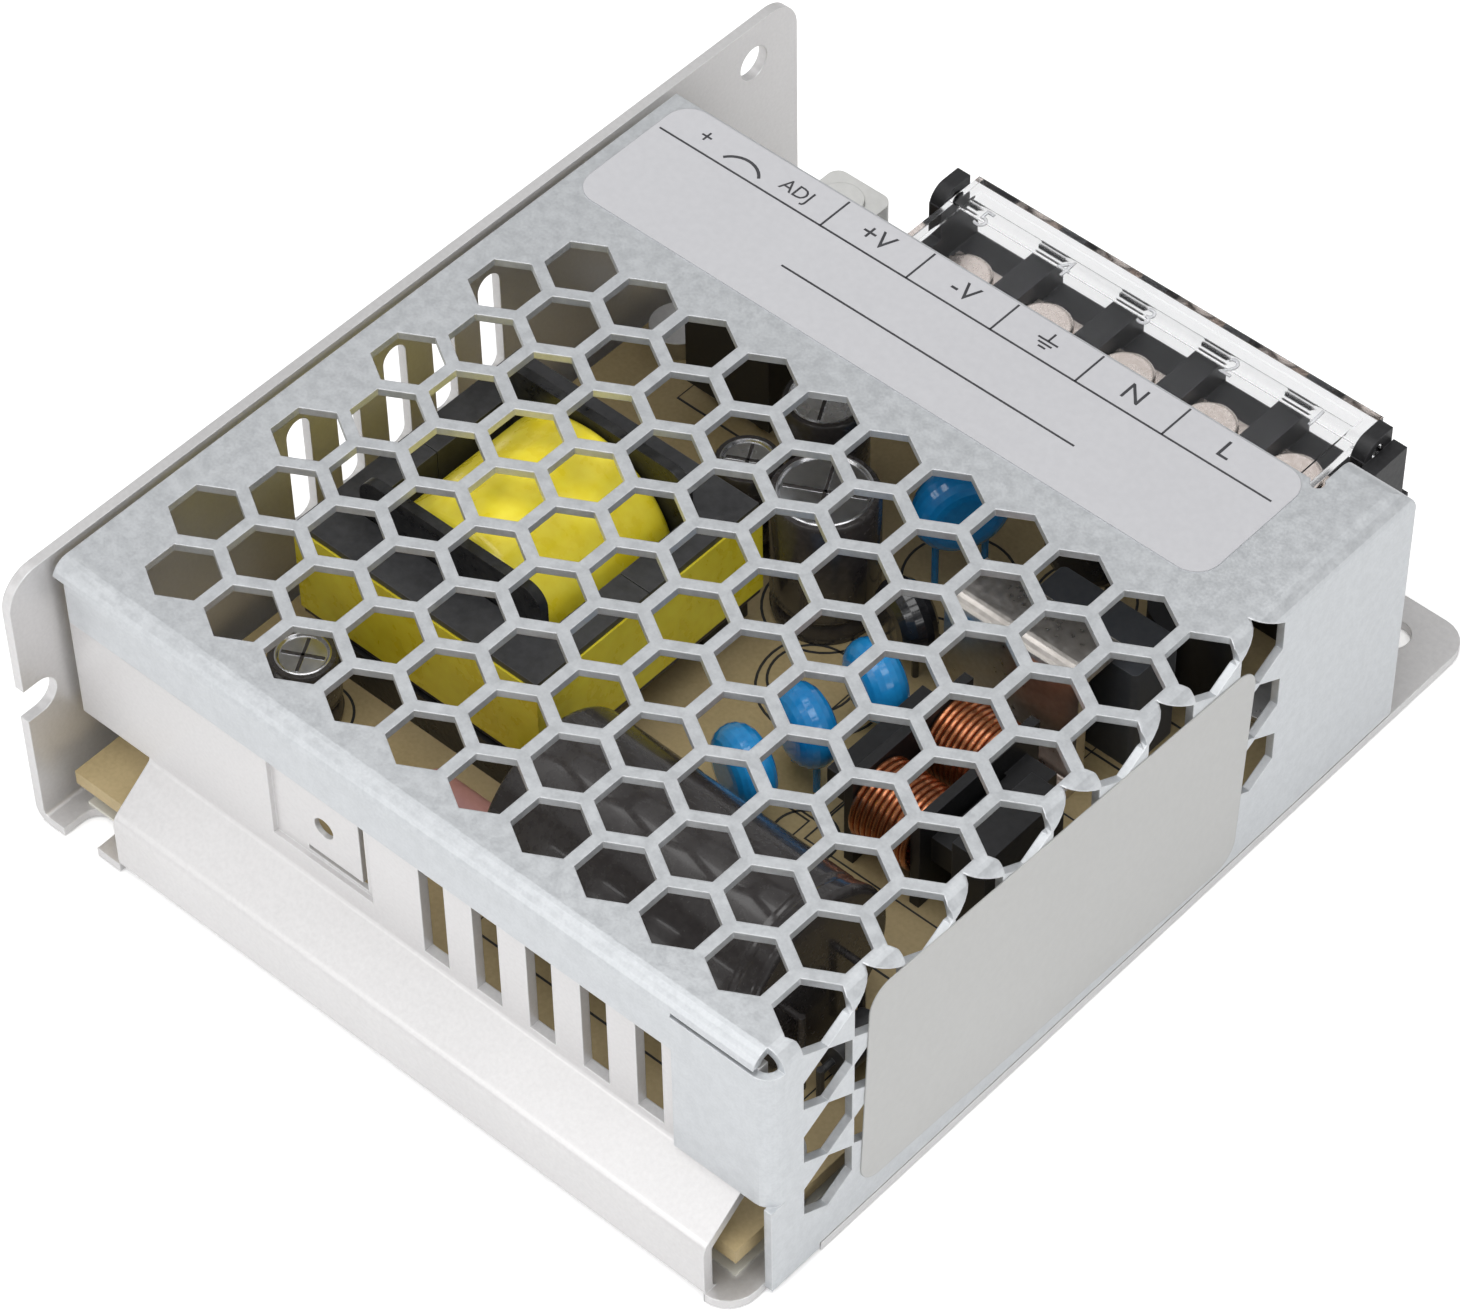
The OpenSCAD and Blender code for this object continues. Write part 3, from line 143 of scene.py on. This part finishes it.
# ---------------------------------------------------------------------------------
# Chassis: one aluminium sheet, sheared, punched and folded, with a fine satin grain
# left by the rolling mill. Its sharp edges carry a painted highlight, a little brighter than the faces.
# ---------------------------------------------------------------------------------
def effect(name, sockets_in, sockets_out):
    """An empty node group with float or colour sockets; returns it with its two end nodes."""
    group = bpy.data.node_groups.new(name, "ShaderNodeTree")
    for socket, kind, value in sockets_in:
        made = group.interface.new_socket(socket, in_out="INPUT", socket_type="NodeSocket" + kind)
        made.default_value = value
    for socket, kind in sockets_out:
        group.interface.new_socket(socket, in_out="OUTPUT", socket_type="NodeSocket" + kind)
    return group, group.nodes.new("NodeGroupInput"), group.nodes.new("NodeGroupOutput")


def object_place(group):
    """Object coordinates in metres; returns the vector output."""
    return group.nodes.new("ShaderNodeTexCoord").outputs["Object"]


def noise_node(group, vector, scale, detail):
    """A noise texture over the vector; scale is the socket that carries it."""
    made = group.nodes.new("ShaderNodeTexNoise")
    made.inputs["Detail"].default_value = detail
    group.links.new(scale, made.inputs["Scale"])
    group.links.new(vector, made.inputs["Vector"])
    return made.outputs["Fac"]


def blend_node(group, factor, low, high):
    """Mixes two colours by a factor socket; low and high are sockets or colours."""
    made = group.nodes.new("ShaderNodeMix")
    made.data_type = "RGBA"
    group.links.new(factor, made.inputs[0])
    for index, value in ((6, low), (7, high)):
        if isinstance(value, (tuple, list)):
            made.inputs[index].default_value = (*value[:3], 1)
        else:
            group.links.new(value, made.inputs[index])
    return made.outputs[2]


def sum_node(group, operation, a, b):
    """One Math node; a and b are sockets or numbers."""
    made = group.nodes.new("ShaderNodeMath")
    made.operation = operation
    for index, value in ((0, a), (1, b)):
        if isinstance(value, (int, float)):
            made.inputs[index].default_value = value
        else:
            group.links.new(value, made.inputs[index])
    return made.outputs[0]


def range_node(group, value, low, high, to_low, to_high):
    """Maps a value from one range to another, clamped."""
    made = group.nodes.new("ShaderNodeMapRange")
    for socket, number in (("From Min", low), ("From Max", high), ("To Min", to_low), ("To Max", to_high)):
        if isinstance(number, (int, float)):
            made.inputs[socket].default_value = number
        else:
            group.links.new(number, made.inputs[socket])
    group.links.new(value, made.inputs["Value"])
    return made.outputs[0]


# Mottle: broad and fine variation of colour and gloss, with a height for bump
mottle, ends_in, ends_out = effect(
    "surface_mottle",
    [("Dark", "Color", (0.5, 0.5, 0.5, 1)), ("Light", "Color", (0.6, 0.6, 0.6, 1)),
     ("Broad", "Float", 60.0), ("Fine", "Float", 1500.0),
     ("Gloss Low", "Float", 0.35), ("Gloss High", "Float", 0.5)],
    [("Color", "Color"), ("Roughness", "Float"), ("Height", "Float")])
place = object_place(mottle)
broad = noise_node(mottle, place, ends_in.outputs["Broad"], 4)
fine = noise_node(mottle, place, ends_in.outputs["Fine"], 2)
broad_share = sum_node(mottle, "MULTIPLY", broad, 0.6)
fine_share = sum_node(mottle, "MULTIPLY", fine, 0.4)
both = sum_node(mottle, "ADD", broad_share, fine_share)
spread = range_node(mottle, both, 0.36, 0.64, 0.0, 1.0)
colour = blend_node(mottle, spread, ends_in.outputs["Dark"], ends_in.outputs["Light"])
gloss_low, gloss_high = ends_in.outputs["Gloss Low"], ends_in.outputs["Gloss High"]
roughness = range_node(mottle, both, 0.36, 0.64, gloss_low, gloss_high)
mottle.links.new(colour, ends_out.inputs["Color"])
mottle.links.new(roughness, ends_out.inputs["Roughness"])
mottle.links.new(fine, ends_out.inputs["Height"])

# Soft edge: rounds the light over sharp edges and marks them with a mask, along which a painted highlight
# is laid
soft_edge, ends_in, ends_out = effect(
    "soft_edge", [("Sharpness", "Float", 6.0)], [("Normal", "Vector"), ("Edge", "Float")])
bevel = soft_edge.nodes.new("ShaderNodeBevel")
bevel.samples = 4
bevel.inputs["Radius"].default_value = 0.15 * MM
flat = soft_edge.nodes.new("ShaderNodeNewGeometry")
likeness = soft_edge.nodes.new("ShaderNodeVectorMath")
likeness.operation = "DOT_PRODUCT"
soft_edge.links.new(bevel.outputs[0], likeness.inputs[0])
soft_edge.links.new(flat.outputs["Normal"], likeness.inputs[1])
away = sum_node(soft_edge, "SUBTRACT", 1.0, likeness.outputs["Value"])
# Mask for the painted edge highlight: strongest where the bevelled normal turns away from the face normal
painted_edge_highlight = soft_edge.nodes.new("ShaderNodeMath")
painted_edge_highlight.operation = "MULTIPLY"
painted_edge_highlight.use_clamp = True
soft_edge.links.new(away, painted_edge_highlight.inputs[0])
soft_edge.links.new(ends_in.outputs["Sharpness"], painted_edge_highlight.inputs[1])
soft_edge.links.new(bevel.outputs[0], ends_out.inputs["Normal"])
soft_edge.links.new(painted_edge_highlight.outputs[0], ends_out.inputs["Edge"])


def finish(name, dark, light, gloss=(0.35, 0.5), metal=0.0, broad=60, fine=1500, bump=0.0, edge=None,
           coat=0.0, clear=0.0, ior=1.45):
    """A finished surface: mottled colour and gloss, softened edges and a fine bump; an edge colour, where
    given, is a painted highlight along the edges.
    """
    made = bpy.data.materials.new(name)
    made.use_nodes = True
    tree = made.node_tree
    skin = tree.nodes["Principled BSDF"]
    skin.inputs["Metallic"].default_value = metal
    skin.inputs["Coat Weight"].default_value = coat
    skin.inputs["Coat Roughness"].default_value = 0.08
    skin.inputs["Transmission Weight"].default_value = clear
    skin.inputs["IOR"].default_value = ior
    look = tree.nodes.new("ShaderNodeGroup")
    look.node_tree = mottle
    look.inputs["Dark"].default_value = (*dark, 1)
    look.inputs["Light"].default_value = (*light, 1)
    look.inputs["Broad"].default_value = broad
    look.inputs["Fine"].default_value = fine
    look.inputs["Gloss Low"].default_value, look.inputs["Gloss High"].default_value = gloss
    rim = tree.nodes.new("ShaderNodeGroup")
    rim.node_tree = soft_edge
    tint = look.outputs["Color"]
    # The edge colour is blended in along sharp edges as a painted highlight
    if edge:
        tint = blend_node(tree, rim.outputs["Edge"], look.outputs["Color"], edge)
    tree.links.new(tint, skin.inputs["Base Color"])
    tree.links.new(look.outputs["Roughness"], skin.inputs["Roughness"])
    relief = tree.nodes.new("ShaderNodeBump")
    relief.inputs["Strength"].default_value = bump
    relief.inputs["Distance"].default_value = 0.05 * MM
    tree.links.new(look.outputs["Height"], relief.inputs["Height"])
    tree.links.new(rim.outputs["Normal"], relief.inputs["Normal"])
    tree.links.new(relief.outputs[0], skin.inputs["Normal"])
    return made


def dress(node, material):
    """Gives a CAD node its finish."""
    slots = nodes[node].material_slots
    if not slots:
        nodes[node].data.materials.append(material)
    for one in slots:
        one.material = material


# The edge colour paints a highlight along the sheet's sharp edges
dress("base_chassis", finish("satin_aluminium", (0.66, 0.65, 0.65), (0.74, 0.73, 0.73),
                             gloss=(0.34, 0.46), metal=0.6, broad=25, fine=2600, bump=0.12,
                             edge=(0.9, 0.9, 0.9)))

# ---------------------------------------------------------------------------------
# Insulation film: a thin milky polyester sheet laid between the chassis and the
# solder side of the board, punched clear of the standoffs.
# ---------------------------------------------------------------------------------
dress("insulation_film", finish("milky_film", (0.72, 0.7, 0.62), (0.8, 0.78, 0.7), gloss=(0.3, 0.4)))

# ---------------------------------------------------------------------------------
# Circuit board: single-sided tan laminate, with black print round each part.
# The print is screened on as a thin raised ink.
# ---------------------------------------------------------------------------------
dress("circuit_board", finish("tan_laminate", (0.4, 0.31, 0.16), (0.5, 0.39, 0.21), gloss=(0.4, 0.55),
                              broad=120, fine=2500, bump=0.1))
board_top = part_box("circuit_board")[1].z
ink = finish("black_print", (0.02, 0.02, 0.02), (0.04, 0.04, 0.04), gloss=(0.5, 0.6))


def make(name, mesh, materials, body="housing"):
    """Links a mesh as a new piece with its materials and lets it ride on a body."""
    piece = bpy.data.objects.new(name, mesh)
    scene.collection.objects.link(piece)
    for one in materials:
        mesh.materials.append(one)
    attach(piece, body)
    return piece


def mesh_from(bm, name, smooth=True):
    """Closes a bmesh into a mesh, its faces shaded smooth below 35 degrees."""
    bmesh.ops.recalc_face_normals(bm, faces=bm.faces)
    mesh = bpy.data.meshes.new(name)
    bm.to_mesh(mesh)
    bm.free()
    if smooth:
        mesh.shade_smooth()
        mesh.set_sharp_from_angle(angle=math.radians(35))
    return mesh


def add_bar(bm, low, high):
    """A box between two corners, in millimetres."""
    middle = [(a + b) / 2 * MM for a, b in zip(low, high)]
    size = [(b - a) * MM for a, b in zip(low, high)]
    shape = Matrix.Translation(middle) @ Matrix.Diagonal((*size, 1))
    bmesh.ops.create_cube(bm, size=1, matrix=shape)


def add_band(bm, points, width, z0, z1, closed=False):
    """A flat ribbon of the given width along points of the XY plane, in millimetres."""
    count = len(points)
    rings = []
    for i, (x, y) in enumerate(points):
        before = points[i - 1] if i or closed else points[i]
        after = points[(i + 1) % count] if i < count - 1 or closed else points[i]
        along = Vector((after[0] - before[0], after[1] - before[1])).normalized()
        side = Vector((-along.y, along.x)) * width / 2
        rings.append([bm.verts.new(Vector((x + s * side.x, y + s * side.y, z)) * MM)
                      for s, z in ((-1, z0), (1, z0), (1, z1), (-1, z1))])
    pairs = list(zip(rings, rings[1:] + rings[:1])) if closed else list(zip(rings, rings[1:]))
    for a, b in pairs:
        for k in range(4):
            bm.faces.new((a[k], a[(k + 1) % 4], b[(k + 1) % 4], b[k]))
    if not closed:
        bm.faces.new(rings[0][::-1])
        bm.faces.new(rings[-1])


def circle_points(x, y, r, count=40, start=0, sweep=360):
    """Points round a circle or an arc."""
    steps = count if sweep == 360 else count + 1
    return [(x + r * math.cos(math.radians(start + sweep * k / count)),
             y + r * math.sin(math.radians(start + sweep * k / count))) for k in range(steps)]


def centre_of(node):
    """Middle of a CAD node, in millimetres."""
    low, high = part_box(node)
    return (low + high) / 2 / MM


print_z = board_top / MM
print_thick = 0.03
line_width = 0.25
part_margin = 0.6
bm = bmesh.new()
for node, radius in (("output_capacitor_1", 4.6), ("output_capacitor_2", 5.7),
                     ("output_capacitor_3", 3.8), ("small_capacitor", 3.9),
                     ("varistor", 4.6), ("thermistor", 4.4), ("disc_capacitor_4", 5.2)):
    middle = centre_of(node)
    ring = circle_points(middle.x, middle.y, radius)
    add_band(bm, ring, line_width, print_z, print_z + print_thick, closed=True)
for node in ("disc_capacitor_1", "disc_capacitor_2", "disc_capacitor_3", "choke_core",
             "box_capacitor", "bulk_capacitor", "power_transistor", "output_diode",
             "bridge_rectifier", "film_resistor"):
    low, high = (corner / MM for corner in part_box(node))
    left, right = low.x - part_margin, high.x + part_margin
    near, far = low.y - part_margin, high.y + part_margin
    corners = [(left, near), (right, near), (right, far), (left, far)]
    add_band(bm, corners, line_width, print_z, print_z + print_thick, closed=True)
for x, y, r in ((-2.5, -3.5, 4.0), (-3.8, -3.5, 6.0), (-14.0, 10.5, 3.0),
                (-2.0, 13.5, 2.6), (-14.5, -19.0, 4.2)):
    add_band(bm, circle_points(x, y, r), line_width, print_z, print_z + print_thick, closed=True)
make("board_print", mesh_from(bm, "board_print", smooth=False), [ink])

# ---------------------------------------------------------------------------------
# Standoffs pressed into the chassis and the zinc-plated screws that hold the board.
# ---------------------------------------------------------------------------------
# The light edge colour paints a highlight along the edges of standoffs and screws
plated = finish("zinc_plate", (0.5, 0.5, 0.5), (0.62, 0.62, 0.62), gloss=(0.25, 0.4), metal=1.0,
                edge=(0.8, 0.8, 0.8))
dress("standoffs", plated)
dress("board_screws", plated)

# ---------------------------------------------------------------------------------
# Terminal block: black moulded body with a fine grain, tin-plated contact plates.
# ---------------------------------------------------------------------------------
# The edge colour paints a faint highlight along the moulded edges
black_moulding = finish("black_moulding", (0.012, 0.012, 0.013), (0.022, 0.022, 0.024),
                        gloss=(0.4, 0.55), bump=0.25, fine=2200, edge=(0.05, 0.05, 0.055))
dress("terminal_body", black_moulding)
tinned = finish("tin_plate", (0.62, 0.56, 0.5), (0.74, 0.69, 0.63), gloss=(0.2, 0.35), metal=1.0)
dress("terminal_contacts", tinned)

# ---------------------------------------------------------------------------------
# Clamp screws with a cross and slot drive on square washers with raised ribs.
# Both are nickel plated. Four teeth on each side edge of the washer grip the wire.
# ---------------------------------------------------------------------------------
# The edge colour paints a highlight along the plated edges
nickel = finish("nickel_plate", (0.6, 0.52, 0.47), (0.76, 0.68, 0.63), gloss=(0.18, 0.32), metal=1.0,
                edge=(0.92, 0.88, 0.85))

tooth_first, tooth_long, tooth_pitch = 0.5, 0.7, 1.45
for n in range(1, 6):
    dress(f"clamp_screw_{n}", nickel)
    x = centre_of(f"clamp_screw_{n}").x
    dress(f"clamp_washer_{n}", nickel)
    low, high = (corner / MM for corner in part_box(f"clamp_washer_{n}"))
    bm = bmesh.new()
    for side in (-1, 1):
        outer = x + side * (high.x - low.x) / 2 * 0.98
        inner = outer - side * 0.35
        for k in range(4):
            near = low.y + tooth_first + tooth_pitch * k
            far = low.y + tooth_first + tooth_long + tooth_pitch * k
            add_bar(bm, (min(outer, inner), near, low.z + 0.1), (max(outer, inner), far, high.z + 0.12))
    make(f"washer_teeth_{n}", mesh_from(bm, "washer_teeth", smooth=False), [nickel], f"washer_{n}")

# ---------------------------------------------------------------------------------
# Terminal flap: clear moulded polycarbonate that turns on two pins, with a raised
# number over each pole.
# ---------------------------------------------------------------------------------
clear = finish("clear_plastic", (0.93, 0.94, 0.95), (0.97, 0.97, 0.98), gloss=(0.04, 0.09),
               clear=1.0, ior=1.2, broad=30)
dress("terminal_cover", clear)
raised = finish("raised_number", (0.8, 0.81, 0.83), (0.9, 0.9, 0.92), gloss=(0.2, 0.3), clear=0.5, ior=1.3)
flap_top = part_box("terminal_cover")[1].z / MM


def lettering(name, words, x, y, z, size, material, depth, body="housing"):
    """Flat raised letters on an upward face, in millimetres, read from the rear."""
    data = bpy.data.curves.new(name, "FONT")
    data.body = words
    data.size = size * MM
    data.extrude = depth / 2 * MM
    data.align_x = data.align_y = "CENTER"
    data.resolution_u = 3
    piece = bpy.data.objects.new(name, data)
    piece.location = Vector((x, y, z + depth / 2)) * MM
    piece.rotation_euler.z = math.pi
    data.materials.append(material)
    scene.collection.objects.link(piece)
    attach(piece, body)


for n in range(1, 6):
    x = centre_of(f"clamp_screw_{n}").x
    lettering(f"pole_number_{n}", str(6 - n), x, -44.3, flap_top - 0.4, 3.0, raised, 0.15,
              body="terminal_cover")

# ---------------------------------------------------------------------------------
# Trimmer: milky white nylon body and slotted rotor. Lamp: green-tinted epoxy.
# ---------------------------------------------------------------------------------
nylon = finish("milky_nylon", (0.78, 0.78, 0.76), (0.86, 0.86, 0.84), gloss=(0.3, 0.4), clear=0.25)
dress("trimmer_body", nylon)
dress("trimmer_rotor", nylon)
dress("indicator_lamp", finish("lamp_epoxy", (0.5, 0.75, 0.45), (0.6, 0.82, 0.55),
                               gloss=(0.1, 0.2), clear=0.6))

# ---------------------------------------------------------------------------------
# Transformer: two ground ferrite halves round a moulded bobbin. The winding is
# wrapped in yellow polyester tape, and the same tape runs round the core.
# ---------------------------------------------------------------------------------
# The edge colour paints a highlight along the edges of the ferrite
ferrite = finish("ground_ferrite", (0.035, 0.035, 0.037), (0.06, 0.06, 0.063), gloss=(0.3, 0.5),
                 broad=200, bump=0.3, edge=(0.12, 0.12, 0.12))
yellow = finish("yellow_tape", (0.85, 0.68, 0.02), (0.95, 0.82, 0.06), gloss=(0.22, 0.4),
                broad=220, fine=900, bump=0.2, coat=0.3)
dress("transformer_core", ferrite)
dress("transformer_bobbin", finish("bobbin_moulding", (0.01, 0.01, 0.011), (0.03, 0.03, 0.03),
                                   gloss=(0.25, 0.4), broad=700, fine=1800, bump=0.8))
dress("transformer_winding", yellow)
dress("transformer_tape", yellow)

# ---------------------------------------------------------------------------------
# Capacitors: aluminium cans in dark shrink sleeves, blue dipped discs, a moulded box.
# ---------------------------------------------------------------------------------
sleeve = finish("dark_sleeve", (0.035, 0.03, 0.03), (0.055, 0.05, 0.048), gloss=(0.2, 0.32),
                coat=0.4, broad=80)
can_top = finish("can_top", (0.6, 0.6, 0.62), (0.72, 0.72, 0.74), gloss=(0.2, 0.3), metal=1.0)
dress("bulk_capacitor", sleeve)


def add_lathe(bm, outline, turns=48, at=(0, 0, 0), slot=0, matrix=None):
    """Turns an outline of (radius, height) points, in millimetres, about the Z axis."""
    shift = matrix or Matrix.Translation(Vector(at) * MM)
    rows = []
    for r, h in outline:
        if r < 1e-6:
            rows.append([bm.verts.new(shift @ (Vector((0, 0, h)) * MM))])
            continue
        rows.append([bm.verts.new(shift @ (Vector((r * math.cos(2 * math.pi * k / turns),
                                                   r * math.sin(2 * math.pi * k / turns), h)) * MM))
                     for k in range(turns)])
    for lower, upper in zip(rows, rows[1:]):
        for k in range(turns):
            a, b = lower[k % len(lower)], lower[(k + 1) % len(lower)]
            c, d = upper[(k + 1) % len(upper)], upper[k % len(upper)]
            corners = [v for i, v in enumerate((a, b, c, d)) if v not in (a, b, c, d)[:i]]
            if len(corners) > 2:
                bm.faces.new(corners).material_index = slot


for node in ("output_capacitor_1", "output_capacitor_2", "output_capacitor_3", "small_capacitor"):
    dress(node, sleeve)
    low, high = (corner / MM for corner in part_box(node))
    middle, r = (low + high) / 2, (high.x - low.x) / 2
    bm = bmesh.new()
    sleeve_outline = [(r - 0.2, low.z), (r, low.z + 1.2), (r - 0.45, low.z + 2.2), (r, low.z + 3.0),
                      (r, high.z - 0.5), (r - 0.25, high.z - 0.12), (r - 0.7, high.z - 0.1)]
    top_outline = [(r - 0.65, high.z - 0.1), (r - 0.8, high.z - 0.02), (r - 1.0, high.z - 0.3),
                   (0, high.z - 0.3)]
    add_lathe(bm, sleeve_outline, at=(middle.x, middle.y, 0))
    add_lathe(bm, top_outline, at=(middle.x, middle.y, 0), slot=1)
    reach = r - 1.2
    for spin in (0.5, 0.5 + math.pi / 2):
        c, w = math.cos(spin), math.sin(spin)
        score = [(middle.x - reach * c, middle.y - reach * w), (middle.x + reach * c, middle.y + reach * w)]
        add_band(bm, score, 0.3, high.z - 0.3, high.z - 0.2)
    can = make(node + "_sleeved", mesh_from(bm, node), [sleeve, can_top])
    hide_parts(node)

blue = finish("blue_epoxy", (0.01, 0.24, 0.62), (0.02, 0.33, 0.76), gloss=(0.12, 0.22), coat=0.6,
              broad=150)
for n in (1, 2, 3, 4):
    dress(f"disc_capacitor_{n}", blue)
# The edge colour paints a highlight along the box's edges
dress("box_capacitor", finish("box_moulding", (0.05, 0.055, 0.065), (0.075, 0.08, 0.09),
                              gloss=(0.4, 0.5), bump=0.2, edge=(0.14, 0.15, 0.16)))

# ---------------------------------------------------------------------------------
# Line-filter choke: ferrite ring in a black flanged former, two enamelled copper coils.
# ---------------------------------------------------------------------------------
dress("choke_core", black_moulding)
copper = finish("enamelled_copper", (0.4, 0.13, 0.05), (0.62, 0.24, 0.1), gloss=(0.15, 0.3),
                metal=0.85, coat=0.5)
wire_radius, wire_pitch = 0.29, 0.62
wire_facets, turn_facets = 8, 32
dress("choke_winding", copper)
low, high = (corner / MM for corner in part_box("choke_winding"))
middle = (low + high) / 2
radius = (high.z - low.z) / 2
turns = int((high.x - low.x) / wire_pitch)
bm = bmesh.new()
for side in (-1, 1):
    y = middle.y + side * ((high.y - low.y) / 2 - radius)
    for k in range(turns):
        x = low.x + (k + 0.5) * (high.x - low.x) / turns
        spin = Matrix.Translation(Vector((x, y, middle.z)) * MM) @ Matrix.Rotation(math.pi / 2, 4, "Y")
        angles = [2 * math.pi * i / wire_facets for i in range(wire_facets + 1)]
        wire = [(radius - 0.3 + wire_radius * math.cos(a), wire_radius * math.sin(a)) for a in angles]
        add_lathe(bm, wire, turns=turn_facets, matrix=spin)
coil = make("copper_turns", mesh_from(bm, "copper_turns"), [copper])
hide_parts("choke_winding")

# ---------------------------------------------------------------------------------
# Small parts soldered to the board: dipped discs, moulded packages, a folded heat
# clip of tinned sheet, a lacquered resistor and a ferrite bead.
# ---------------------------------------------------------------------------------
for node in ("varistor", "thermistor"):
    dress(node, finish("dipped_black", (0.012, 0.012, 0.014), (0.03, 0.03, 0.033),
                       gloss=(0.12, 0.3), coat=0.7))
for node in ("fuse", "power_transistor", "output_diode", "bridge_rectifier"):
    dress(node, black_moulding)
dress("heat_clip", finish("tinned_sheet", (0.6, 0.56, 0.52), (0.76, 0.72, 0.68),
                          gloss=(0.25, 0.4), metal=1.0))
dress("film_resistor", finish("pink_lacquer", (0.42, 0.2, 0.19), (0.5, 0.26, 0.24), gloss=(0.4, 0.5)))
dress("ferrite_bead", ferrite)

# ---------------------------------------------------------------------------------
# Mesh cover: one galvanised steel sheet, punched with hexagons and folded. The zinc
# shows as a fine bluish spangle; the punched webs carry a painted highlight along their edges.
# ---------------------------------------------------------------------------------
# The edge colour paints a highlight along the punched webs
dress("mesh_cover", finish("galvanised_sheet", (0.57, 0.59, 0.61), (0.65, 0.67, 0.69),
                           gloss=(0.36, 0.5), metal=0.65, broad=900, fine=3600, bump=0.12,
                           edge=(0.8, 0.81, 0.83)))

# ---------------------------------------------------------------------------------
# Labels: thin satin film, screened in dark grey with the terminal marks.
# ---------------------------------------------------------------------------------
dress("top_label", finish("label_film", (0.5, 0.5, 0.52), (0.54, 0.54, 0.56), gloss=(0.45, 0.55),
                          broad=20))
dress("side_label", finish("label_grey", (0.5, 0.5, 0.49), (0.54, 0.54, 0.53), gloss=(0.45, 0.55),
                           broad=20))
label_ink = finish("label_ink", (0.035, 0.035, 0.04), (0.06, 0.06, 0.065), gloss=(0.4, 0.5))
ink_thick = 0.02
label_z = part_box("top_label")[1].z / MM
ink_z = label_z + ink_thick
bm = bmesh.new()
# One rule over the whole row of marks and a shorter one above it
add_bar(bm, (-32.5, -28.1, label_z), (37.4, -27.9, ink_z))
add_bar(bm, (-15.9, -22.1, label_z), (17.4, -21.9, ink_z))
# Short rules between the marks
for x in (18.2, 8.2, -1.45, -11.0, -20.6):
    add_bar(bm, (x - 0.1, -32.0, label_z), (x + 0.1, -28.0, ink_z))
# Earth sign: three bars and a stem
for half, drop in ((1.1, 0), (0.75, -0.45), (0.4, -0.9)):
    add_bar(bm, (-6.2 - half, -30.3 - drop, label_z), (-6.2 + half, -30.1 - drop, ink_z))
add_bar(bm, (-6.3, -31.3, label_z), (-6.1, -30.2, ink_z))
# Arc over the trimmer
add_band(bm, circle_points(28.4, -27.4, 2.6, 12, 215, 110), 0.3, label_z, ink_z)
make("label_rules", mesh_from(bm, "label_rules", smooth=False), [label_ink])
marks = (("+V", 13.4, -30.1, 2.9), ("-V", 3.3, -30.1, 2.9), ("N", -15.9, -30.1, 2.9),
         ("L", -26.0, -30.1, 2.9), ("ADJ", 22.6, -29.9, 2.1), ("+", 33.4, -29.8, 2.4))
for n, (words, x, y, size) in enumerate(marks, start=1):
    lettering(f"label_mark_{n}", words, x, y, label_z, size, label_ink, ink_thick)
